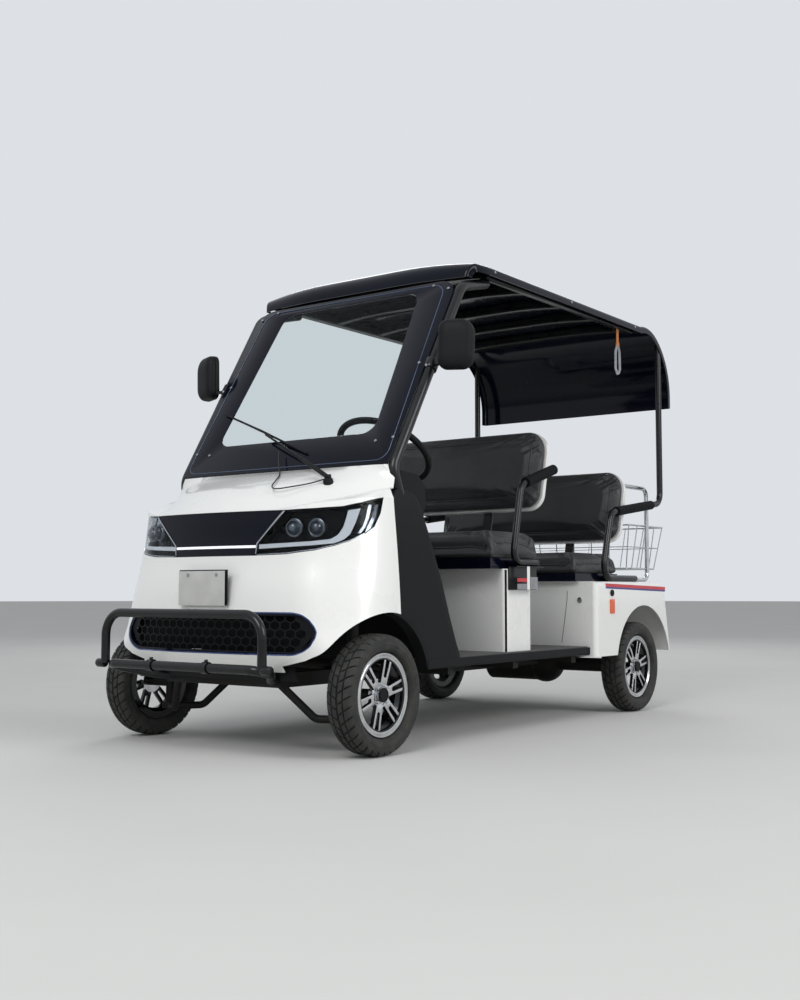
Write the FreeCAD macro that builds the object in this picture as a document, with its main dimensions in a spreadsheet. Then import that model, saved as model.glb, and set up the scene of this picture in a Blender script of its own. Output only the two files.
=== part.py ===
import FreeCAD, Part
import Sketcher
import math
import os
from FreeCAD import Rotation, Vector

# Open electric golf cart: four wheels, two bench seats, four places.
# Millimetres. +Z is up, the front faces -Y and +X is the vehicle's left.
# Every piece is drawn from the front axle line (y = 0) with the ground at z = 0.
# One common shift then centres the whole cart over the origin.

SIZES = (
    # alias, value, meaning
    ("wheelbase", 1973, "front axle to rear axle"),
    ("front_reach", 402, "front axle to the face of the bumper tube"),
    ("rear_reach", 580, "rear axle to the back of the basket"),
    ("track", 1102, "between tyre centre planes"),
    ("tyre_radius", 208, "outer radius of the tyre"),
    ("tyre_width", 108, "widest section of the tyre"),
    ("rim_seat", 126, "bead seat radius"),
    ("rim_lip", 145, "flange radius"),
    ("rim_half", 36, "half the width over the flanges"),
    ("hub_bore", 18, "bore of the wheel hub"),
    ("running_gap", 0.05, "radial play of a shaft in its bore"),
    ("body_half", 598, "half the width over the white body"),
    ("nose_reach", 272, "front axle to the foremost skin"),
    ("nose_arc", 1750, "plan radius of the nose"),
    ("skin", 4, "wall of the moulded body panels"),
    ("cowl_bottom", 287, "lower lip of the front body"),
    ("band_bottom", 684, "lower edge of the black band"),
    ("band_top", 840, "upper edge of the black band"),
    ("crease_height", 922, "edge between nose and bonnet"),
    ("shield_base", 1010, "bonnet height at the windshield"),
    ("seam_setback", 92, "rear edge of the front body"),
    ("arch_radius", 276, "front wheel opening"),
    ("arch_rise", 212, "height of the front opening's centre"),
    ("floor_top", 316, "top of the floor mat"),
    ("floor_depth", 38, "floor tray and mat together"),
    ("floor_half", 566, "half the width of the floor"),
    ("floor_front", 300, "front edge of the floor"),
    ("floor_rear", 1546, "rear edge of the floor"),
    ("rail_gap", 560, "between the outer faces of the side rails"),
    ("rail_height", 50, "height of a side rail"),
    ("box_front", 900, "front face of the front seat box"),
    ("box_depth", 206, "front seat box, front to back"),
    ("box_top", 651, "top of the front seat box"),
    ("bench_half", 530, "half the width of a bench"),
    ("deck_top", 604, "top of the rear body"),
    ("deck_front", 1550, "front face of the rear body"),
    ("tail_reach", 367, "rear axle to the tail tip"),
    ("rear_arch", 285, "rear wheel opening"),
    ("shield_rake", 31, "windshield angle from upright"),
    ("post_radius", 19, "front post tube"),
    ("post_half", 556, "centre plane to front post"),
    ("arm_radius", 14, "arm rest tube"),
    ("pad_radius", 22, "foam sleeve"),
    ("roof_top", 1878, "crown of the roof"),
    ("roof_half", 560, "half the width of the roof"),
    ("roof_skin", 4, "roof wall"),
    ("roof_lip", 33, "depth of the roof's side lip"),
    ("bumper_radius", 16, "bumper tube"),
    ("wheel_radius", 182, "steering wheel, to the rim's centre"),
    ("kingpin_half", 455, "centre plane to kingpin"),
    ("basket_half", 467, "half the width of the basket"),
    ("basket_base", 668, "floor of the basket"),
    ("basket_rise", 222, "depth of the basket"),
)

doc = FreeCAD.newDocument("golf_cart")
sheet = doc.addObject("Spreadsheet::Sheet", "sizes")


class Size:
    """A length with both its number and the expression that gives it."""

    def __init__(self, value, text):
        self.value = float(value)
        self.text = text

    def __float__(self):
        return self.value

    def __add__(self, other):
        return Size(self.value + float(other), f"({self.text} + {text_of(other)})")

    def __radd__(self, other):
        return Size(float(other) + self.value, f"({text_of(other)} + {self.text})")

    def __sub__(self, other):
        return Size(self.value - float(other), f"({self.text} - {text_of(other)})")

    def __rsub__(self, other):
        return Size(float(other) - self.value, f"({text_of(other)} - {self.text})")

    def __mul__(self, factor):
        return Size(self.value * factor, f"({self.text} * {factor})")

    __rmul__ = __mul__

    def __truediv__(self, factor):
        return Size(self.value / factor, f"({self.text} / {factor})")

    def __neg__(self):
        return Size(-self.value, f"(0 - {self.text})")


def text_of(value):
    """The expression of a size, or the plain number."""
    return value.text if isinstance(value, Size) else f"{float(value):.6f}"


class Sizes:
    """Every driving dimension by its alias."""


s = Sizes()
for row, (alias, value, meaning) in enumerate(SIZES, start=1):
    sheet.set(f"A{row}", meaning)
    sheet.set(f"B{row}", str(value))
    sheet.setAlias(f"B{row}", alias)
    setattr(s, alias, Size(value, f"sizes.{alias}"))
doc.recompute()

REAR_AXLE = s.wheelbase
SHIFT = (s.front_reach - s.wheelbase - s.rear_reach) / 2
PLANES = {"top": "XY_Plane", "front": "XZ_Plane", "side": "YZ_Plane"}
nodes = []


# Helpers for document objects

def bind(item, prop, value):
    """Drive one property from the sheet."""
    item.setExpression(prop, text_of(value))


def place(item, at):
    """Put an object at three coordinates."""
    for letter, value in zip("xyz", at):
        bind(item, f"Placement.Base.{letter}", value)


def box(name, corner, size):
    """Block from its low corner and its three lengths."""
    item = doc.addObject("Part::Box", name)
    for prop, value in zip(("Length", "Width", "Height"), size):
        bind(item, prop, value)
    place(item, corner)
    return item


AXES = {"x": Rotation(Vector(0, 0, 1), Vector(1, 0, 0)),
        "y": Rotation(Vector(0, 0, 1), Vector(0, 1, 0)),
        "z": Rotation()}


def rod(name, start, axis, length, radius):
    """Cylinder from its start along one axis."""
    item = doc.addObject("Part::Cylinder", name)
    item.Placement = FreeCAD.Placement(Vector(), AXES[axis])
    bind(item, "Radius", radius)
    bind(item, "Height", length)
    place(item, start)
    return item


def fuse(name, items):
    """One solid from several that meet."""
    item = doc.addObject("Part::MultiFuse", name)
    item.Shapes = items
    item.Refine = True
    return item


def cut(name, base, tool):
    """The base less the tool."""
    item = doc.addObject("Part::Cut", name)
    item.Base = base
    item.Tool = tool
    return item


def mirrored(name, source):
    """The same piece on the vehicle's other side."""
    item = doc.addObject("Part::Mirroring", name)
    item.Source = source
    item.Normal = Vector(1, 0, 0)
    return item


def compound(name, items):
    """Like pieces that share a node."""
    item = doc.addObject("Part::Compound", name)
    item.Links = items
    return item


def node(item, label, at=None):
    """Register a finished piece and shift it into the common frame."""
    item.Label = label
    place(item, at or (0, 0, 0))
    base = at[1] if at else 0
    bind(item, "Placement.Base.y", SHIFT + base)
    nodes.append(item)
    return item


shapes = {}


def shaped(label, shape):
    """A finished piece whose shape comes from curves of its own."""
    item = doc.addObject("Part::Feature", label)
    item.Shape = shape
    shapes[label] = shape
    return node(item, label)


# Helpers for sketched bodies

def sketch_on(body, name, plane, offset=0):
    """Sketch on one of the body's own origin planes."""
    sketch = body.newObject("Sketcher::SketchObject", name)
    role = PLANES[plane]
    base = next(f for f in body.Origin.OriginFeatures if f.Role == role)
    sketch.AttachmentSupport = [(base, "")]
    sketch.MapMode = "FlatFace"
    bind(sketch, "AttachmentOffset.Base.z", offset)
    return sketch


def outline(sketch, path):
    """Closed outline of straight edges; a third entry in a point bulges the
    edge that starts there into an arc through that middle point."""
    count = len(path)
    first = sketch.GeometryCount
    flat = [Vector(float(p[0]), float(p[1]), 0) for p in path]
    for index, point in enumerate(path):
        start = flat[index]
        end = flat[(index + 1) % count]
        if len(point) == 2:
            sketch.addGeometry(Part.LineSegment(start, end))
        else:
            middle = Vector(float(point[2][0]), float(point[2][1]), 0)
            sketch.addGeometry(Part.Arc(start, middle, end))
    for index, point in enumerate(path):
        edge = first + index
        start_pos, _ = arc_ends(sketch, edge, flat[index])
        before = first + (index - 1) % count
        _, end_pos = arc_ends(sketch, before, flat[index - 1])
        sketch.addConstraint(Sketcher.Constraint("Coincident", before, end_pos, edge, start_pos))
        for kind, value in (("DistanceX", point[0]), ("DistanceY", point[1])):
            number = sketch.addConstraint(
                Sketcher.Constraint(kind, -1, 1, edge, start_pos, float(value)))
            if isinstance(value, Size):
                sketch.setExpression(f"Constraints[{number}]", value.text)


def arc_ends(sketch, edge, start):
    """Point numbers of an edge's start and end, since an arc may run back."""
    if (sketch.getPoint(edge, 1) - start).Length < 0.001:
        return 1, 2
    return 2, 1


def circle(sketch, centre, radius):
    """Full circle with its centre and radius bound."""
    number = sketch.addGeometry(
        Part.Circle(Vector(float(centre[0]), float(centre[1]), 0), Vector(0, 0, 1), float(radius)))
    limits = (("DistanceX", -1, 1, number, 3, centre[0]), ("DistanceY", -1, 1, number, 3, centre[1]),
              ("Radius", number, radius))
    for limit in limits:
        value = limit[-1]
        key = sketch.addConstraint(Sketcher.Constraint(*limit[:-1], float(value)))
        if isinstance(value, Size):
            sketch.setExpression(f"Constraints[{key}]", value.text)


def pad(body, sketch, length, both=False, name="Pad"):
    """Add material along the sketch's normal."""
    item = body.newObject("PartDesign::Pad", name)
    item.Profile = sketch
    item.Midplane = both
    bind(item, "Length", length)
    return item


def pocket(body, sketch, length, both=False, back=False, name="Pocket"):
    """Take material away, checked by volume."""
    doc.recompute([body])
    before = body.Shape.Volume
    item = body.newObject("PartDesign::Pocket", name)
    item.Profile = sketch
    item.Midplane = both
    item.Reversed = back
    bind(item, "Length", length)
    doc.recompute([body])
    if body.Shape.Volume >= before - 1:
        raise RuntimeError(f"{body.Name}: {name} cuts nothing")
    return item


def revolve(body, sketch, axis="V_Axis"):
    """Full turn about the sketch's own axis."""
    item = body.newObject("PartDesign::Revolution", "Revolution")
    item.Profile = sketch
    item.ReferenceAxis = (sketch, [axis])
    item.Angle = 360
    return item


def polar(body, features, sketch_axis, count):
    """Repeat features around an axis of the body's origin."""
    axis = next(f for f in body.Origin.OriginFeatures if f.Role == sketch_axis)
    item = body.newObject("PartDesign::PolarPattern", "Pattern")
    item.Originals = features
    item.Axis = (axis, [""])
    item.Angle = 360
    item.Occurrences = count
    body.Tip = item
    return item


def round_edges(body, radius, wanted, name="Fillet"):
    """Fillet the edges that the test picks."""
    doc.recompute([body])
    tip = body.Tip
    names = [f"Edge{number}" for number, edge in enumerate(tip.Shape.Edges, start=1) if wanted(edge)]
    item = body.newObject("PartDesign::Fillet", name)
    item.Base = (tip, names)
    bind(item, "Radius", radius)
    return item


def along(axis, tolerance=0.001):
    """Test for straight edges that run along one axis."""
    direction = {"x": Vector(1, 0, 0), "y": Vector(0, 1, 0), "z": Vector(0, 0, 1)}[axis]

    def wanted(edge):
        if edge.Curve.TypeId != "Part::GeomLine":
            return False
        return abs(abs(edge.Curve.Direction.dot(direction)) - 1) < tolerance

    return wanted


# Helpers for shapes from curves

def point(x, y, z):
    """A point from sizes or numbers."""
    return Vector(float(x), float(y), float(z))


def rounded_path(points, radii):
    """Straight runs joined by tangent arcs."""
    edges = []
    start = points[0]
    for index in range(1, len(points) - 1):
        corner = points[index]
        back = (points[index - 1] - corner).normalize()
        ahead = (points[index + 1] - corner).normalize()
        half = back.getAngle(ahead) / 2
        radius = radii[index - 1] if isinstance(radii, (list, tuple)) else radii
        reach = float(radius) / math.tan(half)
        middle = corner + (back + ahead).normalize() * (float(radius) / math.sin(half) - float(radius))
        begin = corner + back * reach
        end = corner + ahead * reach
        edges.append(Part.LineSegment(start, begin).toShape())
        edges.append(Part.Arc(begin, middle, end).toShape())
        start = end
    edges.append(Part.LineSegment(start, points[-1]).toShape())
    return Part.Wire(edges)


def tube(points, bend, radius):
    """Round bar along a bent path."""
    path = rounded_path(points, bend)
    direction = (points[1] - points[0]).normalize()
    ring = Part.Wire(Part.Circle(points[0], direction, float(radius)).toShape())
    return path.makePipeShell([ring], True, False)


def flip(shape):
    """The shape on the vehicle's other side."""
    return shape.mirror(Vector(), Vector(1, 0, 0))


def pair(shape):
    """Left and right together."""
    return Part.makeCompound([shape, flip(shape)])


def prism_front(corners, front, back):
    """Front-view outline (x, z) carried from front to back along Y."""
    ring = [point(x, front, z) for x, z in corners]
    face = Part.Face(Part.makePolygon(ring + ring[:1]))
    return face.extrude(Vector(0, float(back) - float(front), 0))


def prism_side(corners, left, right):
    """Side-view outline (y, z) carried from left to right along X."""
    ring = [point(left, y, z) for y, z in corners]
    face = Part.Face(Part.makePolygon(ring + ring[:1]))
    return face.extrude(Vector(float(right) - float(left), 0, 0))


def shrink(corners, amount):
    """The same outline moved inwards by an amount."""
    ring = [Vector(float(x), float(z), 0) for x, z in corners]
    face = Part.Face(Part.makePolygon(ring + ring[:1]))
    wire = face.OuterWire.makeOffset2D(-float(amount), 2)
    return [(v.X, v.Y) for v in wire.OrderedVertexes]


# Wheels

def tyre(label, side, wheel_y):
    """Hollow tyre on its bead seats."""
    body = doc.addObject("PartDesign::Body", label)
    sketch = sketch_on(body, f"{label}_section", "top")
    half = s.tyre_width / 2
    bead = s.rim_half - 4
    outline(sketch, (
        (-bead, s.rim_seat),
        (-bead, s.rim_lip + 4, (4 - half, s.rim_lip + 11)),
        (-half, s.rim_lip + 26),
        (4 - half, s.tyre_radius - 12),
        (20 - half, s.tyre_radius - 2, (0, s.tyre_radius)),
        (half - 20, s.tyre_radius - 2),
        (half - 4, s.tyre_radius - 12),
        (half, s.rim_lip + 26, (half - 4, s.rim_lip + 11)),
        (bead, s.rim_lip + 4),
        (bead, s.rim_seat),
        (bead - 10, s.rim_seat),
        (bead - 9, s.rim_lip + 3),
        (half - 9, s.rim_lip + 28),
        (half - 14, s.tyre_radius - 16),
        (14 - half, s.tyre_radius - 16),
        (9 - half, s.rim_lip + 28),
        (9 - bead, s.rim_lip + 3),
        (10 - bead, s.rim_seat),
    ))
    revolve(body, sketch, "H_Axis")
    return node(body, label, (side * s.track / 2, wheel_y, s.tyre_radius))


SPOKES = 6
SPOKE_HALF_GAP = 7
SPOKE_WIDTH = 13


def rim(label, side, wheel_y):
    """Cast wheel: drop-centre barrel, hub and six pairs of spokes."""
    body = doc.addObject("PartDesign::Body", label)
    section = sketch_on(body, f"{label}_barrel", "top")
    flange = s.rim_half - 4
    outline(section, (
        (-s.rim_half, s.rim_lip),
        (-s.rim_half, s.rim_seat - 7),
        (-20, s.rim_seat - 7),
        (-10, s.rim_seat - 21),
        (10, s.rim_seat - 21),
        (20, s.rim_seat - 7),
        (s.rim_half, s.rim_seat - 7),
        (s.rim_half, s.rim_lip),
        (flange, s.rim_lip),
        (flange, s.rim_seat),
        (18, s.rim_seat),
        (9, s.rim_seat - 16),
        (-9, s.rim_seat - 16),
        (-18, s.rim_seat),
        (-flange, s.rim_seat),
        (-flange, s.rim_lip),
    ))
    revolve(body, section, "H_Axis")
    outer = side * 22
    hub = sketch_on(body, f"{label}_hub", "side", outer - 10)
    circle(hub, (0, 0), 44)
    circle(hub, (0, 0), s.hub_bore)
    pad(body, hub, 22, name="HubPad")
    spoke = sketch_on(body, f"{label}_spoke", "side", outer - 6)
    low = SPOKE_HALF_GAP
    high = SPOKE_HALF_GAP + SPOKE_WIDTH
    reach = s.rim_seat - 5
    outline(spoke, ((40, low), (reach, low + 4), (reach, high + 4), (36, high)))
    outline(spoke, ((40, -low), (36, -high), (reach, -high - 4), (reach, -low - 4)))
    pad(body, spoke, 15, name="SpokePad")
    doc.recompute([body])
    polar(body, [body.Tip], "X_Axis", SPOKES)
    return node(body, label, (side * s.track / 2, wheel_y, s.tyre_radius))


def make_wheels():
    for end, wheel_y in (("front", 0), ("rear", REAR_AXLE)):
        for name, side in (("left", 1), ("right", -1)):
            tyre(f"tyre_{end}_{name}", side, wheel_y)
            rim(f"rim_{end}_{name}", side, wheel_y)


# Front body

NOSE = (
    # height, set back from the nose, inset from the side, corner radius
    (s.cowl_bottom, 30, 25, 165),
    (s.cowl_bottom + 45, 0, 8, 190),
    (s.cowl_bottom + 150, 3, 3, 205),
    (s.band_bottom, 40, 0, 215),
    (s.band_top, 39, 0, 215),
)
BROW = (
    (s.band_top, 39, 0, 215),
    (s.band_top + 45, 45, 8, 215),
    (s.crease_height, 72, 20, 208),
)
BONNET = (
    (s.crease_height, 72, 20, 208),
    (s.crease_height + 36, 190, 42, 195),
    (s.shield_base, 385, 74, 165),
)
COWL_BACK = 470


def nose_section(height, setback, inset, corner, wall):
    """Plan outline of the nose at one height, moved inwards by a wall."""
    front = float(setback - s.nose_reach) + wall
    half = float(s.body_half - inset) - wall
    arc = float(s.nose_arc) - wall
    turn = corner - wall
    angle = math.asin((half - turn) / (arc - turn))
    centre_y = front + arc * (1 - math.cos(angle)) + turn * math.cos(angle)
    z = float(height) - wall
    meet = Vector(half - turn + turn * math.sin(angle), centre_y - turn * math.cos(angle), z)
    bend = angle / 2 + math.pi / 4
    middle = Vector(half - turn + turn * math.sin(bend), centre_y - turn * math.cos(bend), z)
    side = Vector(half, centre_y, z)
    rear = Vector(half, COWL_BACK, z)
    over = Vector(-1, 1, 1)

    def other(v):
        return Vector(v.x * over.x, v.y, v.z)

    edges = (
        Part.LineSegment(rear, side), Part.Arc(side, middle, meet),
        Part.Arc(meet, Vector(0, front, z), other(meet)),
        Part.Arc(other(meet), other(middle), other(side)),
        Part.LineSegment(other(side), other(rear)), Part.LineSegment(other(rear), rear),
    )
    return Part.Wire([edge.toShape() for edge in edges])


def nose_solid(wall, groups=(NOSE, BROW)):
    """The nose as a full block, moved inwards by a wall."""
    blocks = []
    for rows in groups:
        sections = [nose_section(*row, wall) for row in rows]
        blocks.append(Part.makeLoft(sections, True, False))
    solid = blocks[0]
    for block in blocks[1:]:
        solid = solid.fuse(block)
    return solid.removeSplitter()


def seam_block():
    """Everything ahead of the seam to the side panels."""
    return Part.makeBox(1400, 700 + float(s.seam_setback), 1200, Vector(-700, -700, 0))


WINDOW = (
    # front view of the band and both lamps: x, z
    (202, s.band_bottom), (573, s.band_bottom + 40), (589, s.band_top + 34), (296, s.band_top),
)
LAMP_GAP = 0.3
GRILLE = ((425, 488), (459, 440), (459, 412), (395, 344))


def both(corners):
    """A half outline with its mirror image, as one ring."""
    return list(corners) + [(-x, z) for x, z in reversed(corners)]


def arch_cylinder(centre_y, centre_z, radius, inner, outer):
    """Round wheel opening from an inner to an outer x."""
    start = point(inner, centre_y, centre_z)
    return Part.makeCylinder(float(radius), float(outer) - float(inner), start, Vector(1, 0, 0))


ARCH_CENTRE = 30
ARCH_INNER = 330


def make_front_body():
    whole = nose_solid(0, (NOSE, BROW, BONNET))
    ahead = seam_block()
    shell = whole.cut(nose_solid(float(s.skin), (NOSE, BROW, BONNET))).common(ahead)
    low = Part.makeBox(1400, 900, float(s.skin) + 1, Vector(-700, -700, float(s.cowl_bottom) - 5))
    shell = shell.cut(low)
    window = prism_front(both(WINDOW), -500, 25)
    mouth = prism_front(both(GRILLE), -500, 0)
    arch = arch_cylinder(ARCH_CENTRE, s.arch_rise, s.arch_radius, ARCH_INNER, 700)
    shell = shell.cut(window).cut(mouth).cut(arch).cut(flip(arch))
    shell = shell.cut(Part.makeBox(1400, 900, 40, Vector(-700, -700, float(s.cowl_bottom) - 40)))
    post = front_post(1)
    shell = shell.cut(post).cut(flip(post))
    shaped("front_cowl", shell)

    hollow = nose_solid(float(s.skin))
    face = nose_solid(0).cut(hollow)
    band_ring = [(200.5, s.band_bottom + LAMP_GAP), (294, s.band_top - LAMP_GAP)]
    shaped("lamp_band", face.common(prism_front(both(band_ring), -500, 0)))
    lamp = shrink(WINDOW, LAMP_GAP)
    lens = face.common(prism_front(lamp, -500, 23))
    shaped("headlamp_lenses", pair(lens))
    deep = nose_solid(64).common(prism_front(lamp, -500, 23))
    deeper = hollow.common(prism_front(lamp, -500, 23)).cut(deep)
    inside = nose_solid(60)
    cavity = hollow.common(prism_front(shrink(WINDOW, LAMP_GAP + 4), -500, 19)).cut(inside)
    shaped("headlamp_housings", pair(deeper.cut(cavity)))

    ring = prism_front(both(GRILLE), -500, 0)
    slim = prism_front(shrink(both(GRILLE), 9), -500, 0)
    proud = nose_solid(-4, (NOSE,))
    back = nose_solid(18, (NOSE,))
    shaped("grille_trim", proud.cut(back).common(ring).cut(slim))
    sheet_front = 10 - float(s.nose_reach) + 3
    outer_arc = float(s.nose_arc)
    sheet_back = Part.makeCylinder(outer_arc - 3, 200, point(0, sheet_front + outer_arc, 320))
    mesh = Part.makeCylinder(outer_arc, 200, point(0, sheet_front + outer_arc, 320)).cut(sheet_back)
    shaped("grille_mesh", mesh.common(slim).cut(hex_holes()))


MESH_PITCH = 40
MESH_WEB = 5


def hex_holes():
    """Rows of pointed-top hexagons across the mouth."""
    radius = (MESH_PITCH - MESH_WEB) / math.sqrt(3)
    rise = MESH_PITCH * math.sqrt(3) / 2
    holes = []
    for row in range(-2, 3):
        for column in range(-12, 13):
            x = (column + (row % 2) / 2) * MESH_PITCH
            z = 416 + row * rise * 0.8
            if abs(x) > 425 - abs(row) * 18:
                continue
            ring = [(x + radius * math.sin(math.radians(60 * k)),
                     z + 0.8 * radius * math.cos(math.radians(60 * k))) for k in range(6)]
            holes.append(prism_front(ring, -500, 0))
    return Part.makeCompound(holes)


# Chassis

RAIL_WIDTH = 50


def make_chassis():
    rail_top = float(s.floor_top - s.floor_depth)
    low = rail_top - float(s.rail_height)
    rear = float(REAR_AXLE)
    kink = float(s.deck_front) + 8
    profile = (
        (-180, rail_top), (kink, rail_top), (kink + 110, 372), (rear + 300, 372), (rear + 300, 322),
        (kink + 130, 322), (kink + 20, low), (-180, low),
    )
    outer = float(s.rail_gap) / 2
    rails = prism_side(profile, outer - RAIL_WIDTH, outer)
    pieces = [rails, flip(rails)]
    for y, z in ((-180, low), (430, low), (900, low), (1400, low), (1700, 322), (rear + 250, 322)):
        pieces.append(Part.makeBox(2 * outer - 2, 50, 50, Vector(1 - outer, y, z)))
    for y in (480, 950, 1440):
        for sign in (1, -1):
            start = outer - 1 if sign > 0 else -outer + 1 - 250
            pieces.append(Part.makeBox(250, 40, 30, Vector(start, y, rail_top - 30)))
    frame = pieces[0]
    for piece in pieces[1:]:
        frame = frame.fuse(piece)
    shaped("chassis_frame", frame.removeSplitter())


def make_floor():
    body = doc.addObject("PartDesign::Body", "floor_pan")
    plan = sketch_on(body, "floor_plan", "top", s.floor_top - s.floor_depth)
    outline(plan, (
        (-s.floor_half, s.floor_front), (s.floor_half, s.floor_front),
        (s.floor_half, s.floor_rear), (-s.floor_half, s.floor_rear),
    ))
    pad(body, plan, s.floor_depth - 4)
    round_edges(body, 8, lambda e: along("y")(e) and e.CenterOfMass.z < 290)
    node(body, "floor_pan")
    corner = (8 - s.floor_half, s.floor_front + 8, s.floor_top - 4)
    mat = box("floor_mat", corner, (2 * s.floor_half - 16, s.floor_rear - s.floor_front - 16, 4))
    node(mat, "floor_mat", corner)


def seat_box_corner(edge):
    return along("z")(edge)


def make_front_seat():
    body = doc.addObject("PartDesign::Body", "front_seat_box")
    plan = sketch_on(body, "box_plan", "top", s.floor_top)
    outline(plan, (
        (-s.bench_half, s.box_front), (s.bench_half, s.box_front),
        (s.bench_half, s.box_front + s.box_depth), (-s.bench_half, s.box_front + s.box_depth),
    ))
    pad(body, plan, s.box_top - s.floor_top)
    round_edges(body, 24, seat_box_corner)
    inner = sketch_on(body, "box_inside", "top", s.floor_top)
    wall = s.skin
    outline(inner, (
        (wall - s.bench_half, s.box_front + wall), (s.bench_half - wall, s.box_front + wall),
        (s.bench_half - wall, s.box_front + s.box_depth - wall),
        (wall - s.bench_half, s.box_front + s.box_depth - wall),
    ))
    pocket(body, inner, s.box_top - s.floor_top - wall, back=True)
    node(body, "front_seat_box")


def cushion(label, half, front, depth, base, height, round_by=26):
    """Seat cushion: a padded block with rounded edges."""
    body = doc.addObject("PartDesign::Body", label)
    plan = sketch_on(body, f"{label}_plan", "top", base)
    outline(plan, ((-half, front), (half, front), (half, front + depth), (-half, front + depth)))
    pad(body, plan, height)
    round_edges(body, 50, along("z"), "Corners")
    top = float(base + height)
    round_edges(body, round_by, lambda e: abs(e.BoundBox.ZMin - top) < 0.01
                and abs(e.BoundBox.ZMax - top) < 0.01, "Crown")
    return node(body, label)


def backrest(label, half, foot_y, base, height):
    """Leaning pad with rounded upper corners; gives back its white shell."""
    for name, near, deep, grow in ((f"{label}_shell", BACK_PAD + 0.3, BACK_SHELL, 8),
                                   (label, 0, BACK_PAD, 0)):
        body = doc.addObject("PartDesign::Body", name)
        face = sketch_on(body, f"{name}_face", "front", -near - deep)
        wide = half + grow
        outline(face, ((-wide, -grow), (wide, -grow), (wide, height + grow), (-wide, height + grow)))
        pad(body, face, deep)
        tall = float(height) / 2
        round_edges(body, 95 + grow, lambda e: along("y")(e) and e.CenterOfMass.z > tall, "Shoulders")
        round_edges(body, 60 + grow, lambda e: along("y")(e) and e.CenterOfMass.z < tall, "Feet")
        if grow == 0:
            round_edges(body, 18, lambda e: abs(e.BoundBox.YMin) < 0.01 and abs(e.BoundBox.YMax) < 0.01,
                        "Edge")
        body.Placement = FreeCAD.Placement(Vector(), Rotation(Vector(1, 0, 0), -LEAN))
        place(body, (0, foot_y, base))
        if grow == 0:
            node(body, name, (0, foot_y, base))
        else:
            back = body
    return back


LEAN = 13
BACK_PAD = 55
BACK_SHELL = 22


def lean_point(foot_y, base, behind, up):
    """Side-view point of a leaning backrest, from its foot."""
    turn = math.radians(LEAN)
    y = float(foot_y) + up * math.sin(turn) + behind * math.cos(turn)
    return y, float(base) + up * math.cos(turn) - behind * math.sin(turn)


def back_strap(foot_y, base, floor, x):
    """Steel strap up the back of a backrest from the level it stands on."""
    near = BACK_PAD + BACK_SHELL + 0.3
    top = [lean_point(foot_y, base, near + deep, 190) for deep in (0, 8)]
    low = []
    for deep in (0, 8):
        y, z = lean_point(foot_y, base, near + deep, 0)
        low.append((y - (z - floor) * math.tan(math.radians(LEAN)), floor))
    profile = (low[0], top[0], top[1], low[1])
    return prism_side(profile, x - 22, x + 22)


def make_seats():
    make_front_seat()
    front_foot = 1170
    rear_foot = 1912
    pan_top = s.box_top + 43
    pans = [box("front_pan", (20 - s.bench_half, 812, s.box_top), (2 * s.bench_half - 40, 393, 43)),
            box("rear_pan", (20 - s.bench_half, 1520, s.deck_top), (2 * s.bench_half - 40, 415, 36))]
    node(compound("seat_pans", pans), "seat_pans")
    cushion("front_cushion", s.bench_half, 800, 384, pan_top, 107)
    cushion("rear_cushion", s.bench_half - 8, 1505, 438, s.deck_top + 36, 90)
    shells = [backrest("front_backrest", 500, front_foot, 930, 340),
              backrest("rear_backrest", 500, rear_foot, 815, 335)]
    node(compound("backrest_shells", shells), "backrest_shells")
    straps = []
    for x in (-230, 230):
        straps.append(back_strap(front_foot, 930, float(pan_top), x))
        straps.append(back_strap(rear_foot, 815, float(s.deck_top), x))
    shaped("back_straps", Part.makeCompound(straps))
    bracket = Part.makeBox(4, 222, 97, point(s.bench_half, 914, 565)).fuse(
        Part.makeBox(42, 222, 4, point(s.bench_half, 914, 658)))
    shaped("arm_brackets", pair(bracket))


# Rear body

def make_rear_body():
    tail = float(REAR_AXLE + s.tail_reach)
    front = float(s.deck_front)
    top = float(s.deck_top)
    low = 270
    half = float(s.body_half)
    wall = float(s.skin)
    profile = ((front, low), (front, top), (tail - 90, top), (tail - 66, top - 26), (tail, low))
    block = prism_side(profile, -half, half)
    edges = [e for e in block.Edges if e.BoundBox.XMin > half - 1 or e.BoundBox.XMax < 1 - half]
    upper = [e for e in edges if e.BoundBox.ZMax > low + 1]
    block = block.makeFillet(22, upper)
    inner = ((front + wall, low - 5), (front + wall, top - wall), (tail - 90, top - wall),
             (tail - 66 - wall, top - 28), (tail - wall, low - 5))
    core = prism_side(inner, wall - half, half - wall)
    edges = [e for e in core.Edges if e.BoundBox.XMin > half - wall - 1 or e.BoundBox.XMax < wall + 1 - half]
    core = core.makeFillet(18, [e for e in edges if e.BoundBox.ZMax > low + 1])
    arch = arch_cylinder(REAR_AXLE + 60, 208, s.rear_arch, 330, 700)
    shell = block.cut(core).cut(arch).cut(flip(arch))
    notch = Part.makeBox(RAIL_WIDTH + 2, 30, 30,
                         point(s.rail_gap / 2 - RAIL_WIDTH - 1, front - 10,
                               s.floor_top - s.floor_depth - 29))
    shaped("rear_body", shell.cut(notch).cut(flip(notch)))


# Posts, roof and windshield

def shield_point(x, along_plane):
    """A point of the windshield plane at a distance up from its lower edge."""
    rake = math.radians(float(s.shield_rake))
    return point(x, 112 + along_plane * math.sin(rake), 1014 + along_plane * math.cos(rake))


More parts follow.
